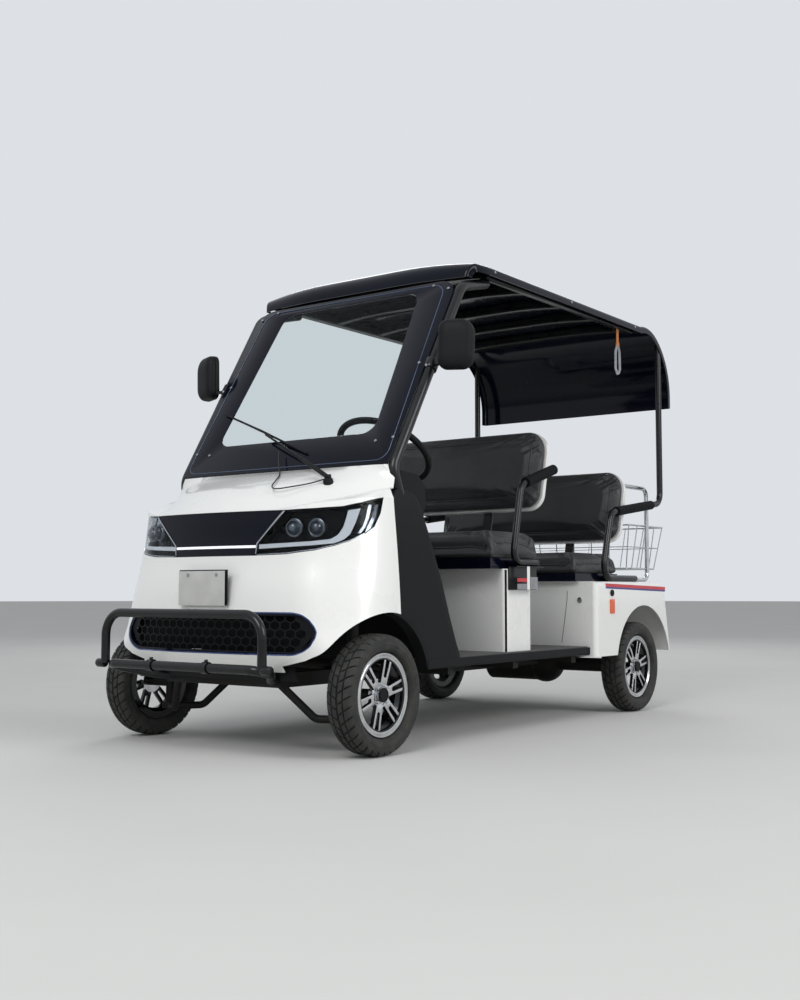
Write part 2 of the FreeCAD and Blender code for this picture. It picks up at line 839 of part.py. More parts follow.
def make_posts():
    half = float(s.post_half)
    below = Part.makeBox(1400, 200, 60, point(-700, 250, s.floor_top - 60))
    shaped("front_posts", pair(front_post(0).cut(below)))
    rear_y = float(REAR_AXLE) + 384
    foot = float(s.deck_top) + 15.3
    out = s.roof_half - s.roof_skin - 15.3
    arm = tube([point(out, 2060, foot), point(out, 1722, foot), point(out, 1812, 925),
                point(out, rear_y, 998), point(out, rear_y, 1830)], [60, 60, 60], 15)
    arm = arm.cut(roof_band(-60, float(s.roof_skin) + 0.3, 700))
    shaped("rear_posts", pair(arm))
    arm_foot = 662 + float(s.arm_radius)
    fore = tube([point(half, 1096, arm_foot), point(half, 908, arm_foot), point(half, 976, 996),
                 point(half, 1256, 1082)], [45, 60], s.arm_radius)
    shaped("front_arms", pair(fore))
    pads = [sleeve(point(half, 976, 996), point(half, 1256, 1082), 40, 285, s.arm_radius),
            sleeve(point(out, 1812, 925), point(out, rear_y, 998), 60, 440, 15)]
    shaped("arm_pads", pair(Part.makeCompound(pads)))


def sleeve(start, end, begin, finish, bore):
    """Foam sleeve along part of a straight run."""
    way = (end - start).normalize()
    outer = Part.makeCylinder(float(s.pad_radius), finish - begin, start + way * begin, way)
    return outer.cut(Part.makeCylinder(float(bore), finish - begin, start + way * begin, way))


def roof_profile(depth):
    """Side view of the roof, moved inwards by a depth."""
    top = float(s.roof_top) - depth
    front = Vector(0, 575 + depth, 0)
    rear_edge = float(REAR_AXLE) + 494 - depth
    bend = 330 - depth
    nose = 110 - depth
    lower = Vector(0, front.y, float(s.roof_top) - 110)
    nose_end = Vector(0, front.y + nose, top)
    nose_mid = Vector(0, front.y + nose * (1 - math.sqrt(0.5)), top - nose * (1 - math.sqrt(0.5)))
    rear_start = Vector(0, rear_edge - bend, top)
    rear_mid = Vector(0, rear_edge - bend * (1 - math.sqrt(0.5)), top - bend * (1 - math.sqrt(0.5)))
    rear_end = Vector(0, rear_edge, top - bend)
    foot = Vector(0, rear_edge, 1488)
    return [
        Part.Arc(lower, nose_mid, nose_end).toShape(),
        Part.LineSegment(nose_end, rear_start).toShape(),
        Part.Arc(rear_start, rear_mid, rear_end).toShape(),
        Part.LineSegment(rear_end, foot).toShape(),
    ]


def roof_band(near, deep, half):
    """Strip between two depths of the roof, carried across the width."""
    upper = roof_profile(near)
    lower = roof_profile(deep)
    start = Part.LineSegment(lower[0].Vertexes[0].Point, upper[0].Vertexes[0].Point).toShape()
    end = Part.LineSegment(upper[-1].Vertexes[-1].Point, lower[-1].Vertexes[-1].Point).toShape()
    ring = Part.Wire(Part.__sortEdges__([start] + upper + [end] + lower))
    face = Part.Face(ring)
    solid = face.extrude(Vector(2 * half, 0, 0))
    solid.translate(Vector(-half, 0, 0))
    return solid


def make_roof():
    half = float(s.roof_half)
    skin = float(s.roof_skin)
    lip = float(s.roof_lip)
    shell = roof_band(0, lip, half).cut(roof_band(skin, lip + 5, half - skin))
    post = front_post(1)
    shell = shell.cut(post).cut(flip(post))
    shaped("roof_shell", shell)
    ribs = []
    for y in (760, 1080, 1400, 1720, 2040):
        ribs.append(Part.makeBox(2 * half - 60, 40, 22, Vector(30 - half, y, float(s.roof_top) - skin - 22)))
    rails = Part.makeBox(30, 1300, 22, Vector(half - 50, 760, float(s.roof_top) - skin - 44))
    frame = ribs[0]
    for piece in ribs[1:] + [rails, flip(rails)]:
        frame = frame.fuse(piece)
    shaped("roof_frame", frame)


def shield_panel(corners, near, thick, bend=0):
    """Flat panel along the windshield plane, from a distance ahead of it."""
    normal = shield_normal()
    ring = [shield_point(x, up) + normal * near for x, up in corners]
    solid = Part.Face(Part.makePolygon(ring + ring[:1])).extrude(normal * thick)
    if bend:
        across = [e for e in solid.Edges if abs(e.Length - thick) < 0.01]
        solid = solid.makeFillet(bend, across)
    return solid


def make_windshield():
    side = float(s.post_half) - 8
    plate = shield_panel([(-side, 2), (side, 2), (side, 872), (-side, 872)], -4, 4)
    hole = [(-455, 78), (455, 78), (410, 850), (-410, 850)]
    post = front_post(0)
    plate = plate.cut(shield_panel(hole, -6, 8, 60)).cut(post).cut(flip(post))
    shaped("windshield_frame", max(plate.Solids, key=lambda solid: solid.Volume))
    outer = [(-512, 22), (512, 22), (458, 878), (-458, 878)]
    inner = [(-398, 150), (398, 150), (352, 846), (-352, 846)]
    opening = shield_panel(inner, -1, 8, 55)
    shaped("windshield_border", shield_panel(outer, 0, 5, 45).cut(opening))
    shaped("windshield_glass", shield_panel(inner, 0, 5, 55))


# Steering and axles

KNUCKLE_ARM = 120
ARM_RISE = 60
ARM_THICK = 12
ROD_RADIUS = 8
RACK_RADIUS = 18


def make_front_axle():
    king = float(s.kingpin_half)
    hub_x = float(s.track) / 2
    play = float(s.running_gap)
    spindle = Part.makeCylinder(float(s.hub_bore) - play, hub_x + 40 - king, point(king, 0, s.tyre_radius),
                                Vector(1, 0, 0))
    post = Part.makeCylinder(17, 150, point(king, 0, float(s.tyre_radius) - 75))
    arm = Part.makeBox(24, KNUCKLE_ARM + 12, ARM_THICK, point(king - 12, 0, s.tyre_radius + ARM_RISE))
    solid = spindle.fuse(post).fuse(arm)
    for name, shape in (("knuckle_left", solid), ("knuckle_right", flip(solid))):
        shaped(name, shape)
    low = float(s.tyre_radius) - 75
    arms = []
    for y in (-150, 150):
        arms.append(tube([point(250, y, 240), point(350, y * 0.5, low - 14), point(king, 0, low - 19)],
                         40, 14))
    seat = Part.makeCylinder(30, 26, point(king, 0, low - 34 + 7.7))
    lower = arms[0].fuse(arms[1]).fuse(seat)
    shaped("front_arms_lower", pair(lower.cut(shapes["chassis_frame"])))
    top = float(s.tyre_radius) + 75
    strut = Part.makeCylinder(20, 230, point(king, 0, top + 0.3)).fuse(
        Part.makeCylinder(45, 10, point(king, 0, top + 230)))
    shaped("front_struts", pair(strut))
    rack_y = KNUCKLE_ARM
    rod_z = float(s.floor_top - s.floor_depth) + RACK_RADIUS
    bar = Part.makeCylinder(ROD_RADIUS, 2 * king, point(-king, rack_y, rod_z), Vector(1, 0, 0))
    shaped("tie_rods", bar)
    reach = float(s.rail_gap) / 2 - 6
    case = Part.makeCylinder(RACK_RADIUS, 2 * reach, point(-reach, rack_y, rod_z), Vector(1, 0, 0))
    bore = Part.makeCylinder(ROD_RADIUS + 0.3, 2 * reach, point(-reach, rack_y, rod_z), Vector(1, 0, 0))
    shaped("rack_housing", case.cut(bore))


def make_rear_axle():
    rear = float(REAR_AXLE)
    z = float(s.tyre_radius)
    hub_x = float(s.track) / 2
    play = float(s.running_gap)
    parts = [
        Part.makeCylinder(32, 2 * 470, point(-470, rear, z), Vector(1, 0, 0)),
        Part.makeCylinder(float(s.hub_bore) - play, 2 * (hub_x + 40), point(-hub_x - 40, rear, z),
                          Vector(1, 0, 0)),
        Part.makeSphere(92, point(100, rear, z)),
        Part.makeCylinder(84, 260, point(-200, rear, z), Vector(1, 0, 0)),
    ]
    axle = parts[0]
    for part in parts[1:]:
        axle = axle.fuse(part)
    shaped("rear_axle", axle)
    spring = Part.makeBox(50, 580, 14, Vector(230, rear - 280, z + 32))
    for y in (rear - 280, rear + 270):
        spring = spring.fuse(Part.makeBox(50, 30, 322 - z - 32, Vector(230, y, z + 32)))
    shaped("leaf_springs", pair(spring))


def make_steering():
    axis = column_axis()
    centre = point(*WHEEL_CENTRE)
    ring = Part.makeTorus(float(s.wheel_radius), 13, centre, axis)
    hub = Part.makeCylinder(45, 30, centre - axis * 40, axis)
    wheel = ring.fuse(hub)
    for turn in (0, 120, 240):
        side = Rotation(axis, turn + 90).multVec(Vector(1, 0, 0))
        spoke = Part.makeCylinder(9, float(s.wheel_radius) - 20, centre - axis * 20 + side * 20, side)
        wheel = wheel.fuse(spoke)
    shaped("steering_wheel", wheel)
    shaped("steering_column", steering_column_solid(0))


def make_bumper():
    y = -(float(s.front_reach) - float(s.bumper_radius))
    r = float(s.bumper_radius)
    hoop = tube([point(-384, y, 302), point(-384, y, 484), point(384, y, 484), point(384, y, 302)], 80, r)
    low = tube([point(-255, -170, 253), point(-290, -240, 260), point(-425, y, 302),
                point(425, y, 302), point(290, -240, 260), point(255, -170, 253)],
               [30, 45, 45, 30], r)
    shaped("bumper_bar", hoop.fuse(low).cut(shapes["chassis_frame"]))


def make_mirrors():
    head = Part.makeBox(150, 44, 192, point(582, 326, 1377))
    head = head.makeFillet(14, head.Edges)
    post = post_line(1420)
    arm = tube([post, point(620, 350, 1400), point(630, 348, 1440)], 15, 7)
    clamp = Part.makeCylinder(float(s.post_radius) + 7, 44, post - post_way() * 22, post_way())
    clamp = clamp.cut(Part.makeCylinder(float(s.post_radius), 60, post - post_way() * 30, post_way()))
    bar = arm.cut(Part.makeCylinder(float(s.post_radius), 60, post - post_way() * 30, post_way()))
    shaped("mirrors", pair(head.fuse(bar).fuse(clamp)).cut(shapes["windshield_frame"]))


POST_LOW = -52
POST_HIGH = 908


def post_way():
    """Direction of the straight run of the front posts."""
    return (shield_point(0, POST_HIGH) - shield_point(0, POST_LOW)).normalize()


def post_line(height):
    """Centre of the left front post at a height."""
    low = shield_point(s.post_half, POST_LOW)
    way = post_way()
    return low + way * ((height - low.z) / way.z)


def make_side_panels():
    seam = float(s.seam_setback) + 1.5
    profile = ((seam, 954), (232, 940), (268, 900), (378, 620), (507, 322), (510, 284),
               (240, 284), (seam, 400))
    arch = arch_cylinder(ARCH_CENTRE, s.arch_rise, s.arch_radius, ARCH_INNER, 700)
    block = prism_side(profile, 518, 596).cut(arch)
    outer = [e for e in block.Edges if e.BoundBox.XMin > 595 and e.CenterOfMass.z > 300]
    block = block.makeFillet(6, outer)
    wall = float(s.skin)
    deeper = arch_cylinder(ARCH_CENTRE, s.arch_rise, float(s.arch_radius) + wall, ARCH_INNER, 700)
    core = prism_side(shrink(profile, wall), 500, 596 - wall).cut(deeper)
    panel = block.cut(core)
    floor = Part.makeBox(2 * float(s.floor_half) + 2, 1300, float(s.floor_depth) + 2,
                         point(-s.floor_half - 1, s.floor_front - 1, s.floor_top - s.floor_depth - 1))
    shaped("side_panels", pair(panel.cut(floor).cut(front_post(1))))


def front_post(extra):
    """Left front post, thicker by a clearance where it cuts its way."""
    return tube(front_post_route(), [120, 110], float(s.post_radius) + extra)


def front_post_route():
    half = s.post_half
    under = float(s.roof_top) - 67
    return [point(half - 6, 345, s.floor_top - 25), shield_point(half, POST_LOW),
            shield_point(half, POST_HIGH), point(half - 30, 800, under)]


def make_cabin():
    side = 518
    profile = ((134, 1004), (300, 988), (345, 955), (356, 880), (310, 800), (230, 782), (134, 850))
    dash = prism_side(profile, -side, side)
    long_edges = [e for e in dash.Edges if e.BoundBox.XLength > 100 and e.BoundBox.YMin > 140]
    dash = dash.makeFillet(14, long_edges)
    column = steering_column_solid(0.2)
    dash = dash.cut(prism_side(((200, 770), (330, 770), (330, 880), (200, 850)), -500, -80))
    shaped("dashboard", dash.cut(column))
    sheet_profile = ((236, 776), (240, 781), (300, 402), (313, 316), (309, 316), (296, 398))
    shaped("front_bulkhead", prism_side(sheet_profile, -515, 515))
    pedals = []
    for x in (200, 330):
        plate = prism_side(((318, 440), (324, 446), (352, 372), (346, 368)), x - 35, x + 35)
        stem = tube([point(x, 290, 500), point(x, 322, 430), point(x, 330, 410)], 20, 7)
        bulkhead = prism_side(((200, 781), (240, 781), (300, 402), (300, 300), (200, 300)), -515, 515)
        pedals.append(plate.fuse(stem).cut(bulkhead))
    shaped("pedals", Part.makeCompound(pedals))


COLUMN_TILT = 35
WHEEL_CENTRE = (280, 410, 1100)


def column_axis():
    turn = math.radians(COLUMN_TILT)
    return Vector(0, math.sin(turn), math.cos(turn))


def steering_column_solid(extra):
    axis = column_axis()
    return Part.makeCylinder(25 + extra, 304.7, point(*WHEEL_CENTRE) - axis * 345, axis)


def make_basket():
    half = float(s.basket_half)
    base = float(s.basket_base)
    top = base + float(s.basket_rise)
    front = float(REAR_AXLE) + 187
    back = float(REAR_AXLE + s.rear_reach)
    rail = 4.5
    wire = 2.6
    inset = 34
    rings = []
    for z, pull, radius in ((top - rail, 0, rail), ((base + top) / 2, inset / 2, wire), (base + rail, inset, rail)):
        x, y0, y1 = half - rail - pull, front + rail + pull, back - rail - pull
        corners = [point(-x, y0, z), point(x, y0, z), point(x, y1, z), point(-x, y1, z)]
        for start, end in zip(corners, corners[1:] + corners[:1]):
            way = end - start
            rings.append(Part.makeCylinder(radius, way.Length, start, way))
            rings.append(Part.makeSphere(radius, start))
    columns = 9
    for k in range(columns + 1):
        share = -1 + 2 * k / columns
        for y_top, y_low in ((front + rail, front + rail + inset), (back - rail, back - rail - inset)):
            start = point(share * (half - rail - inset), y_low, base + rail)
            end = point(share * (half - rail), y_top, top - rail)
            way = end - start
            rings.append(Part.makeCylinder(wire, way.Length, start, way))
    for k in range(1, 4):
        share = k / 4
        y = front + (back - front) * share
        for sign in (-1, 1):
            start = point(sign * (half - rail - inset), y, base + rail)
            end = point(sign * (half - rail), y, top - rail)
            way = end - start
            rings.append(Part.makeCylinder(wire, way.Length, start, way))
    for k in range(1, columns):
        share = -1 + 2 * k / columns
        start = point(share * (half - rail - inset), front + rail + inset, base + rail)
        end = point(share * (half - rail - inset), back - rail - inset, base + rail)
        way = end - start
        rings.append(Part.makeCylinder(wire, way.Length, start, way))
    basket = rings[0].multiFuse(rings[1:])
    shaped("basket", basket)
    bar = 11
    x = half + bar + 0.3
    y = float(REAR_AXLE) + 357
    foot = float(s.deck_top) + bar
    reach, _ = lean_point(1912, 815, BACK_PAD + BACK_SHELL + 0.3, 280.6)
    frame = tube([point(x, 1990, foot), point(x, y, foot), point(x, y, 1071), point(x, reach + 3.2, 1071)],
                 [40, 40], bar)
    shaped("basket_frame", pair(frame))


def make_small_parts():
    rear = float(REAR_AXLE)
    pack = Part.makeBox(460, 330, 226, point(-230, s.deck_front + 110, 372))
    shaped("battery_pack", pack)
    slope = (float(REAR_AXLE + s.tail_reach), float(REAR_AXLE + s.tail_reach) - 66)
    low_z, high_z = 270, float(s.deck_top) - 26

    def tail_y(z):
        return slope[0] + (slope[1] - slope[0]) * (z - low_z) / (high_z - low_z)

    lamp = prism_side(((tail_y(500), 500), (tail_y(500) + 16, 500), (tail_y(560) + 16, 560),
                       (tail_y(560), 560)), 430, 545)
    shaped("tail_lamps", pair(lamp))
    nose_y = -float(s.nose_reach)
    plate = Part.makeBox(236, 3, 124, point(-118, nose_y - 6, 512))
    for x in (-70, 70):
        plate = plate.cut(Part.makeCylinder(3.2, 10, point(x, nose_y - 8, 624), Vector(0, 1, 0)))
    boss = Part.makeCylinder(9, 60, point(0, nose_y - 3, 560), Vector(0, 1, 0))
    bosses = boss.translated(Vector(-90, 0, 0)).fuse(boss.translated(Vector(90, 0, 0)))
    shaped("plate_bracket", plate.fuse(bosses).cut(nose_solid(0, (NOSE,))))
    strap_y = 1950
    x = float(s.roof_half) - 42
    strap = Part.makeBox(3, 24, 86, point(x, strap_y - 12, 1744))
    loop = tube([point(x + 1.5, strap_y - 20, 1738), point(x + 1.5, strap_y - 26, 1600),
                 point(x + 1.5, strap_y + 26, 1600), point(x + 1.5, strap_y + 20, 1738)], [22, 22], 5)
    bar = Part.makeCylinder(5, 46, point(x + 1.5, strap_y - 23, 1739), Vector(0, 1, 0))
    shaped("grab_handle", strap.fuse(loop).fuse(bar))


WIPER_FOOT = (345, -30, 968)
HOSE = ((-22, 143, 1100), (-10, 108, 1046), (12, 72, 1010), (52, 26, 996), (104, -22, 980),
        (160, -60, 972), (222, -74, 968), (285, -62, 970), (332, -40, 972))
HOSE_RADIUS = 2.5


def make_wiper():
    foot = point(*WIPER_FOOT)
    cap = Part.makeCylinder(17, 34, foot - Vector(0, 0, 6))
    elbow = shield_point(-38, 120) + shield_normal() * 22
    arm = tube([foot + Vector(0, 0, 20), point(300, 20, 1008), elbow], 60, 6)
    start = shield_point(-420, 300) + shield_normal() * 10.3
    end = shield_point(110, 70) + shield_normal() * 10.3
    way = (end - start).normalize()
    blade = Part.makeCylinder(5, (end - start).Length, start, way)
    link = Part.makeCylinder(5, 12, elbow, shield_normal() * -1)
    wiper = cap.fuse(arm).fuse(blade).fuse(link)
    shaped("wiper", wiper.cut(nose_solid(0, (NOSE, BROW, BONNET))))
    route = [point(*place_of) for place_of in HOSE]
    radii = []
    for before, corner, after in zip(route, route[1:], route[2:]):
        turn = (corner - before).getAngle(after - corner)
        short = min((corner - before).Length, (after - corner).Length)
        radii.append(0.45 * short / math.tan(turn / 2))
    print("hose radii", [round(radius, 1) for radius in radii])
    hose = tube(route, radii, HOSE_RADIUS)
    length = rounded_path(route, radii).Length
    print("hose volume share", round(hose.Volume / (length * math.pi * HOSE_RADIUS ** 2), 4))
    shaped("washer_hose", hose)


def shield_normal():
    rake = math.radians(float(s.shield_rake))
    return Vector(0, -math.cos(rake), math.sin(rake))


make_wheels()
make_chassis()
make_front_body()
make_floor()
make_seats()
make_rear_body()
make_posts()
make_roof()
make_windshield()
make_front_axle()
make_rear_axle()
make_steering()
make_bumper()
make_mirrors()
make_side_panels()
make_cabin()
make_basket()
make_small_parts()
make_wiper()

doc.recompute()
faults = [item.Label for item in doc.Objects if {"Invalid", "Error"} & set(item.State)]
for item in nodes:
    if item.Shape.isNull() or not item.Shape.isValid():
        faults.append(f"{item.Label} shape")
if faults:
    raise RuntimeError(f"failed: {', '.join(faults)}")
os.makedirs("parts", exist_ok=True)
for item in nodes:
    item.Shape.exportStep(os.path.join("parts", f"{item.Label}.step"))
print(f"{len(nodes)} nodes written")
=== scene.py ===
import math

import bpy
from mathutils import Matrix, Vector


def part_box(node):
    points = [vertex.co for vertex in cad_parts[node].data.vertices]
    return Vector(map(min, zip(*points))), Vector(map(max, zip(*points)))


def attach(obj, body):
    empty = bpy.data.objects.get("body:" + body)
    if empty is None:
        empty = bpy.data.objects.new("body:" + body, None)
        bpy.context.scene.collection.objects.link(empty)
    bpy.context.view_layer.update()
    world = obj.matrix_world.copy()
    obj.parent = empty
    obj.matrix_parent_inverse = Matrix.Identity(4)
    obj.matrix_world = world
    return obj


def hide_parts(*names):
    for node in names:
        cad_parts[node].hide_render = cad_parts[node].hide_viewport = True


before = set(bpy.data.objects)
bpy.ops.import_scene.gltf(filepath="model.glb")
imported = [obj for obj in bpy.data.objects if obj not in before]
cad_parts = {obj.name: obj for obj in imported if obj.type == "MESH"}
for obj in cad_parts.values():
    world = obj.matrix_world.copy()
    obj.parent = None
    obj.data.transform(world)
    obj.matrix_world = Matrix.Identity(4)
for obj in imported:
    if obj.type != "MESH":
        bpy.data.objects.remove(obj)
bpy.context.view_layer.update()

bl_info = {
    "name": "Open electric golf cart",
    "version": (1, 0, 0),
    "blender": (4, 5, 0),
    "location": "View3D > Sidebar > Golf cart",
    "description": "Dresses the golf cart's frame with its finished pieces",
    "category": "Object",
}

MM = 0.001
CART = "cart"
AXLE_Y = sum(corner.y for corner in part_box("rim_front_left")) / 2
finishes = {}


# Places and colours


def at(x, y, z):
    """A place in millimetres from the middle of the front axle, on the ground."""
    return Vector((x * MM, y * MM + AXLE_Y, z * MM))


def linear(hex_text):
    """sRGB hex colour as linear RGBA."""
    channels = [int(hex_text[i:i + 2], 16) / 255 for i in (1, 3, 5)]
    return tuple(c / 12.92 if c <= 0.04045 else ((c + 0.055) / 1.055) ** 2.4 for c in channels) + (1,)


# Modelling helpers


def clear_selection():
    """Leaves edit mode and selects nothing."""
    if bpy.context.object and bpy.context.object.mode != "OBJECT":
        bpy.ops.object.mode_set(mode="OBJECT")
    bpy.ops.object.select_all(action="DESELECT")


def choose(piece):
    """Makes one object the only one selected."""
    clear_selection()
    piece.select_set(True)
    bpy.context.view_layer.objects.active = piece


def settle(piece, name):
    """Names a piece and bakes its place into its mesh."""
    choose(piece)
    bpy.ops.object.transform_apply(location=True, rotation=True, scale=True)
    piece.name = name
    piece.data.name = name
    return piece


def applied(piece, kind, **settings):
    """Adds one modifier, sets it and applies it."""
    choose(piece)
    modifier = piece.modifiers.new(kind.lower(), kind)
    for key, value in settings.items():
        setattr(modifier, key, value)
    bpy.ops.object.modifier_apply(modifier=modifier.name)
    return piece


def eased(piece, width, segments=2, angle=35):
    """Rounds a piece's sharp edges, in millimetres."""
    return applied(piece, "BEVEL", width=width * MM, segments=segments, limit_method="ANGLE",
                   angle_limit=math.radians(angle), use_clamp_overlap=True)


def refined(piece, levels=2):
    """Subdivides a cage into its smooth surface."""
    return applied(piece, "SUBSURF", levels=levels, render_levels=levels)


def smoothed(piece, angle=35):
    """Smooth shading with crisp edges kept."""
    choose(piece)
    bpy.ops.object.shade_smooth_by_angle(angle=math.radians(angle))
    return piece


def faced_out(piece, merge=0.00001):
    """Closes seams and turns all faces outwards."""
    choose(piece)
    bpy.ops.object.mode_set(mode="EDIT")
    bpy.ops.mesh.select_all(action="SELECT")
    bpy.ops.mesh.remove_doubles(threshold=merge)
    bpy.ops.mesh.normals_make_consistent(inside=False)
    bpy.ops.object.mode_set(mode="OBJECT")
    return piece


def joined(name, pieces):
    """Several objects as one."""
    clear_selection()
    for piece in pieces:
        piece.select_set(True)
    bpy.context.view_layer.objects.active = pieces[0]
    if len(pieces) > 1:
        bpy.ops.object.join()
    return settle(bpy.context.object, name)


def copied(piece, name, matrix):
    """A copy with its own mesh, moved by a matrix."""
    twin = piece.copy()
    twin.data = piece.data.copy()
    twin.name = name
    twin.data.name = name
    bpy.context.collection.objects.link(twin)
    twin.data.transform(matrix)
    if matrix.to_3x3().determinant() < 0:
        twin.data.flip_normals()
    return twin


def mirrored(piece, name):
    """The same piece on the cart's other side."""
    return copied(piece, name, Matrix.Scale(-1, 4, Vector((1, 0, 0))))


def with_twin(piece, name):
    """A piece together with its mirror image."""
    return joined(name, [piece, mirrored(piece, f"{name}_twin")])


def block(name, low, high, ease=0, segments=3):
    """Box between two corners with eased edges."""
    clear_selection()
    bpy.ops.mesh.primitive_cube_add(size=1, location=(low + high) / 2, scale=high - low)
    piece = settle(bpy.context.object, name)
    return eased(piece, ease, segments) if ease else piece


def rod(name, start, end, radius, sides=24, ease=0, tip=None):
    """Round bar or cone between two points, radii in millimetres."""
    clear_selection()
    way = end - start
    turn = way.to_track_quat("Z", "Y").to_euler()
    bpy.ops.mesh.primitive_cone_add(vertices=sides, radius1=radius * MM,
                                    radius2=(radius if tip is None else tip) * MM,
                                    depth=way.length, location=(start + end) / 2, rotation=turn)
    piece = settle(bpy.context.object, name)
    return eased(piece, ease) if ease else piece


def ring(name, centre, axis, radius, thick, around=48, section=12):
    """Torus about an axis, in millimetres."""
    clear_selection()
    bpy.ops.mesh.primitive_torus_add(
        location=centre, rotation=axis.to_track_quat("Z", "Y").to_euler(), major_segments=around,
        minor_segments=section, major_radius=radius * MM, minor_radius=thick * MM)
    return settle(bpy.context.object, name)


def skinned(name, rows, closed=False, capped=False):
    """Surface through rows of points: a grid whose vertices are set row by row."""
    clear_selection()
    across, along = len(rows[0]), len(rows)
    bpy.ops.mesh.primitive_grid_add(x_subdivisions=across - 1, y_subdivisions=along - 1, size=1)
    piece = bpy.context.object
    for vertex, place in zip(piece.data.vertices, (place for row in rows for place in row)):
        vertex.co = place
    piece.location = (0, 0, 0)
    piece = settle(piece, name)
    if closed:
        faced_out(piece)
    if capped:
        bpy.ops.object.mode_set(mode="EDIT")
        bpy.ops.mesh.select_all(action="DESELECT")
        bpy.ops.mesh.select_non_manifold(extend=False)
        bpy.ops.mesh.fill()
        bpy.ops.object.mode_set(mode="OBJECT")
        faced_out(piece)
    return piece


def spun(name, profile, steps, centre, axis="X"):
    """Profile of (along the axis, radius) millimetres turned into a closed body."""
    loop = list(profile) + (list(profile[:1]) if profile[0][1] > 0 else [])
    rows = []
    for step in range(steps + 1):
        angle = 2 * math.pi * step / steps
        rows.append([centre + turned(along, radius, angle, axis) for along, radius in loop])
    return skinned(name, rows, closed=True)


def turned(along, radius, angle, axis="X"):
    """Offset of a lathe point in metres."""
    a, u, v = along * MM, radius * MM * math.cos(angle), radius * MM * math.sin(angle)
    return {"X": Vector((a, u, v)), "Y": Vector((u, a, v)), "Z": Vector((u, v, a))}[axis]


def bent_path(points, bends):
    """Straight runs joined by tangent arcs, as close points. Bends in millimetres."""
    path = [points[0]]
    for index in range(1, len(points) - 1):
        corner = points[index]
        back = (points[index - 1] - corner).normalized()
        ahead = (points[index + 1] - corner).normalized()
        half = back.angle(ahead) / 2
        bend = bends[index - 1] if isinstance(bends, (list, tuple)) else bends
        radius = bend * MM
        centre = corner + (back + ahead).normalized() * (radius / math.sin(half))
        first = corner + back * (radius / math.tan(half)) - centre
        last = corner + ahead * (radius / math.tan(half)) - centre
        sweep = first.angle(last)
        steps = max(3, round(math.degrees(sweep) / 9))
        axis = first.cross(last).normalized()
        path += [centre + Matrix.Rotation(sweep * k / steps, 3, axis) @ first for k in range(steps + 1)]
    return path + [points[-1]]


def tube(name, points, bends, radius, sides=16, plain=False):
    """Bent round tube with closed ends; plain follows the points as they are."""
    curve = bpy.data.curves.new(name, "CURVE")
    curve.dimensions = "3D"
    curve.bevel_depth = radius * MM
    curve.bevel_resolution = sides // 4
    curve.use_fill_caps = True
    path = bent_path(points, bends) if len(points) > 2 and not plain else points
    spline = curve.splines.new("POLY")
    spline.points.add(len(path) - 1)
    for target, place in zip(spline.points, path):
        target.co = (*place, 1)
    piece = bpy.data.objects.new(name, curve)
    bpy.context.collection.objects.link(piece)
    choose(piece)
    bpy.ops.object.convert(target="MESH")
    return faced_out(settle(bpy.context.object, name))


def slab(name, outline, depth):
    """Flat outline of world points thickened along its normal by millimetres, or by an offset."""
    clear_selection()
    bpy.ops.mesh.primitive_circle_add(vertices=len(outline), radius=1, fill_type="NGON")
    piece = bpy.context.object
    for vertex, place in zip(piece.data.vertices, outline):
        vertex.co = place
    piece.location = (0, 0, 0)
    settle(piece, name)
    bpy.ops.object.mode_set(mode="EDIT")
    bpy.ops.mesh.select_all(action="SELECT")
    normal = piece.data.polygons[0].normal
    way = depth if isinstance(depth, Vector) else normal * depth * MM
    bpy.ops.mesh.extrude_region_move(TRANSFORM_OT_translate={"value": way})
    bpy.ops.object.mode_set(mode="OBJECT")
    return faced_out(piece)


def done(piece, finish, body=CART, stands_for=()):
    """Gives a finished piece its material, body and slot."""
    piece.data.materials.clear()
    piece.data.materials.append(finishes[finish])
    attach(piece, body)
    if stands_for:
        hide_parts(*stands_for)
    return piece


# Finishes


def put(tree, kind, inputs=None, **settings):
    """Adds a node: settings go on it, inputs into its sockets as values or links."""
    item = tree.nodes.new(kind)
    for key, value in settings.items():
        setattr(item, key, value)
    for key, value in (inputs or {}).items():
        socket = item.inputs[key]
        if isinstance(value, bpy.types.NodeSocket):
            tree.links.new(value, socket)
        else:
            socket.default_value = value
    return item


def begin(name):
    """Empty material with the place on the piece."""
    material = bpy.data.materials.new(name)
    material.use_nodes = True
    tree = material.node_tree
    tree.nodes.clear()
    place = put(tree, "ShaderNodeTexCoord").outputs["Object"]
    return material, tree, place


def close(tree, kind, inputs):
    """Adds the shader and leads it to the surface."""
    shader = put(tree, kind, inputs)
    put(tree, "ShaderNodeOutputMaterial", {"Surface": shader.outputs[0]})


def per_mm(size):
    """Scale of a pattern whose features are that many millimetres wide."""
    return 1 / (size * MM)


# Part of a cloud pattern's range that is stretched over the whole effect
CLOUDS = {"From Min": 0.3, "From Max": 0.7}

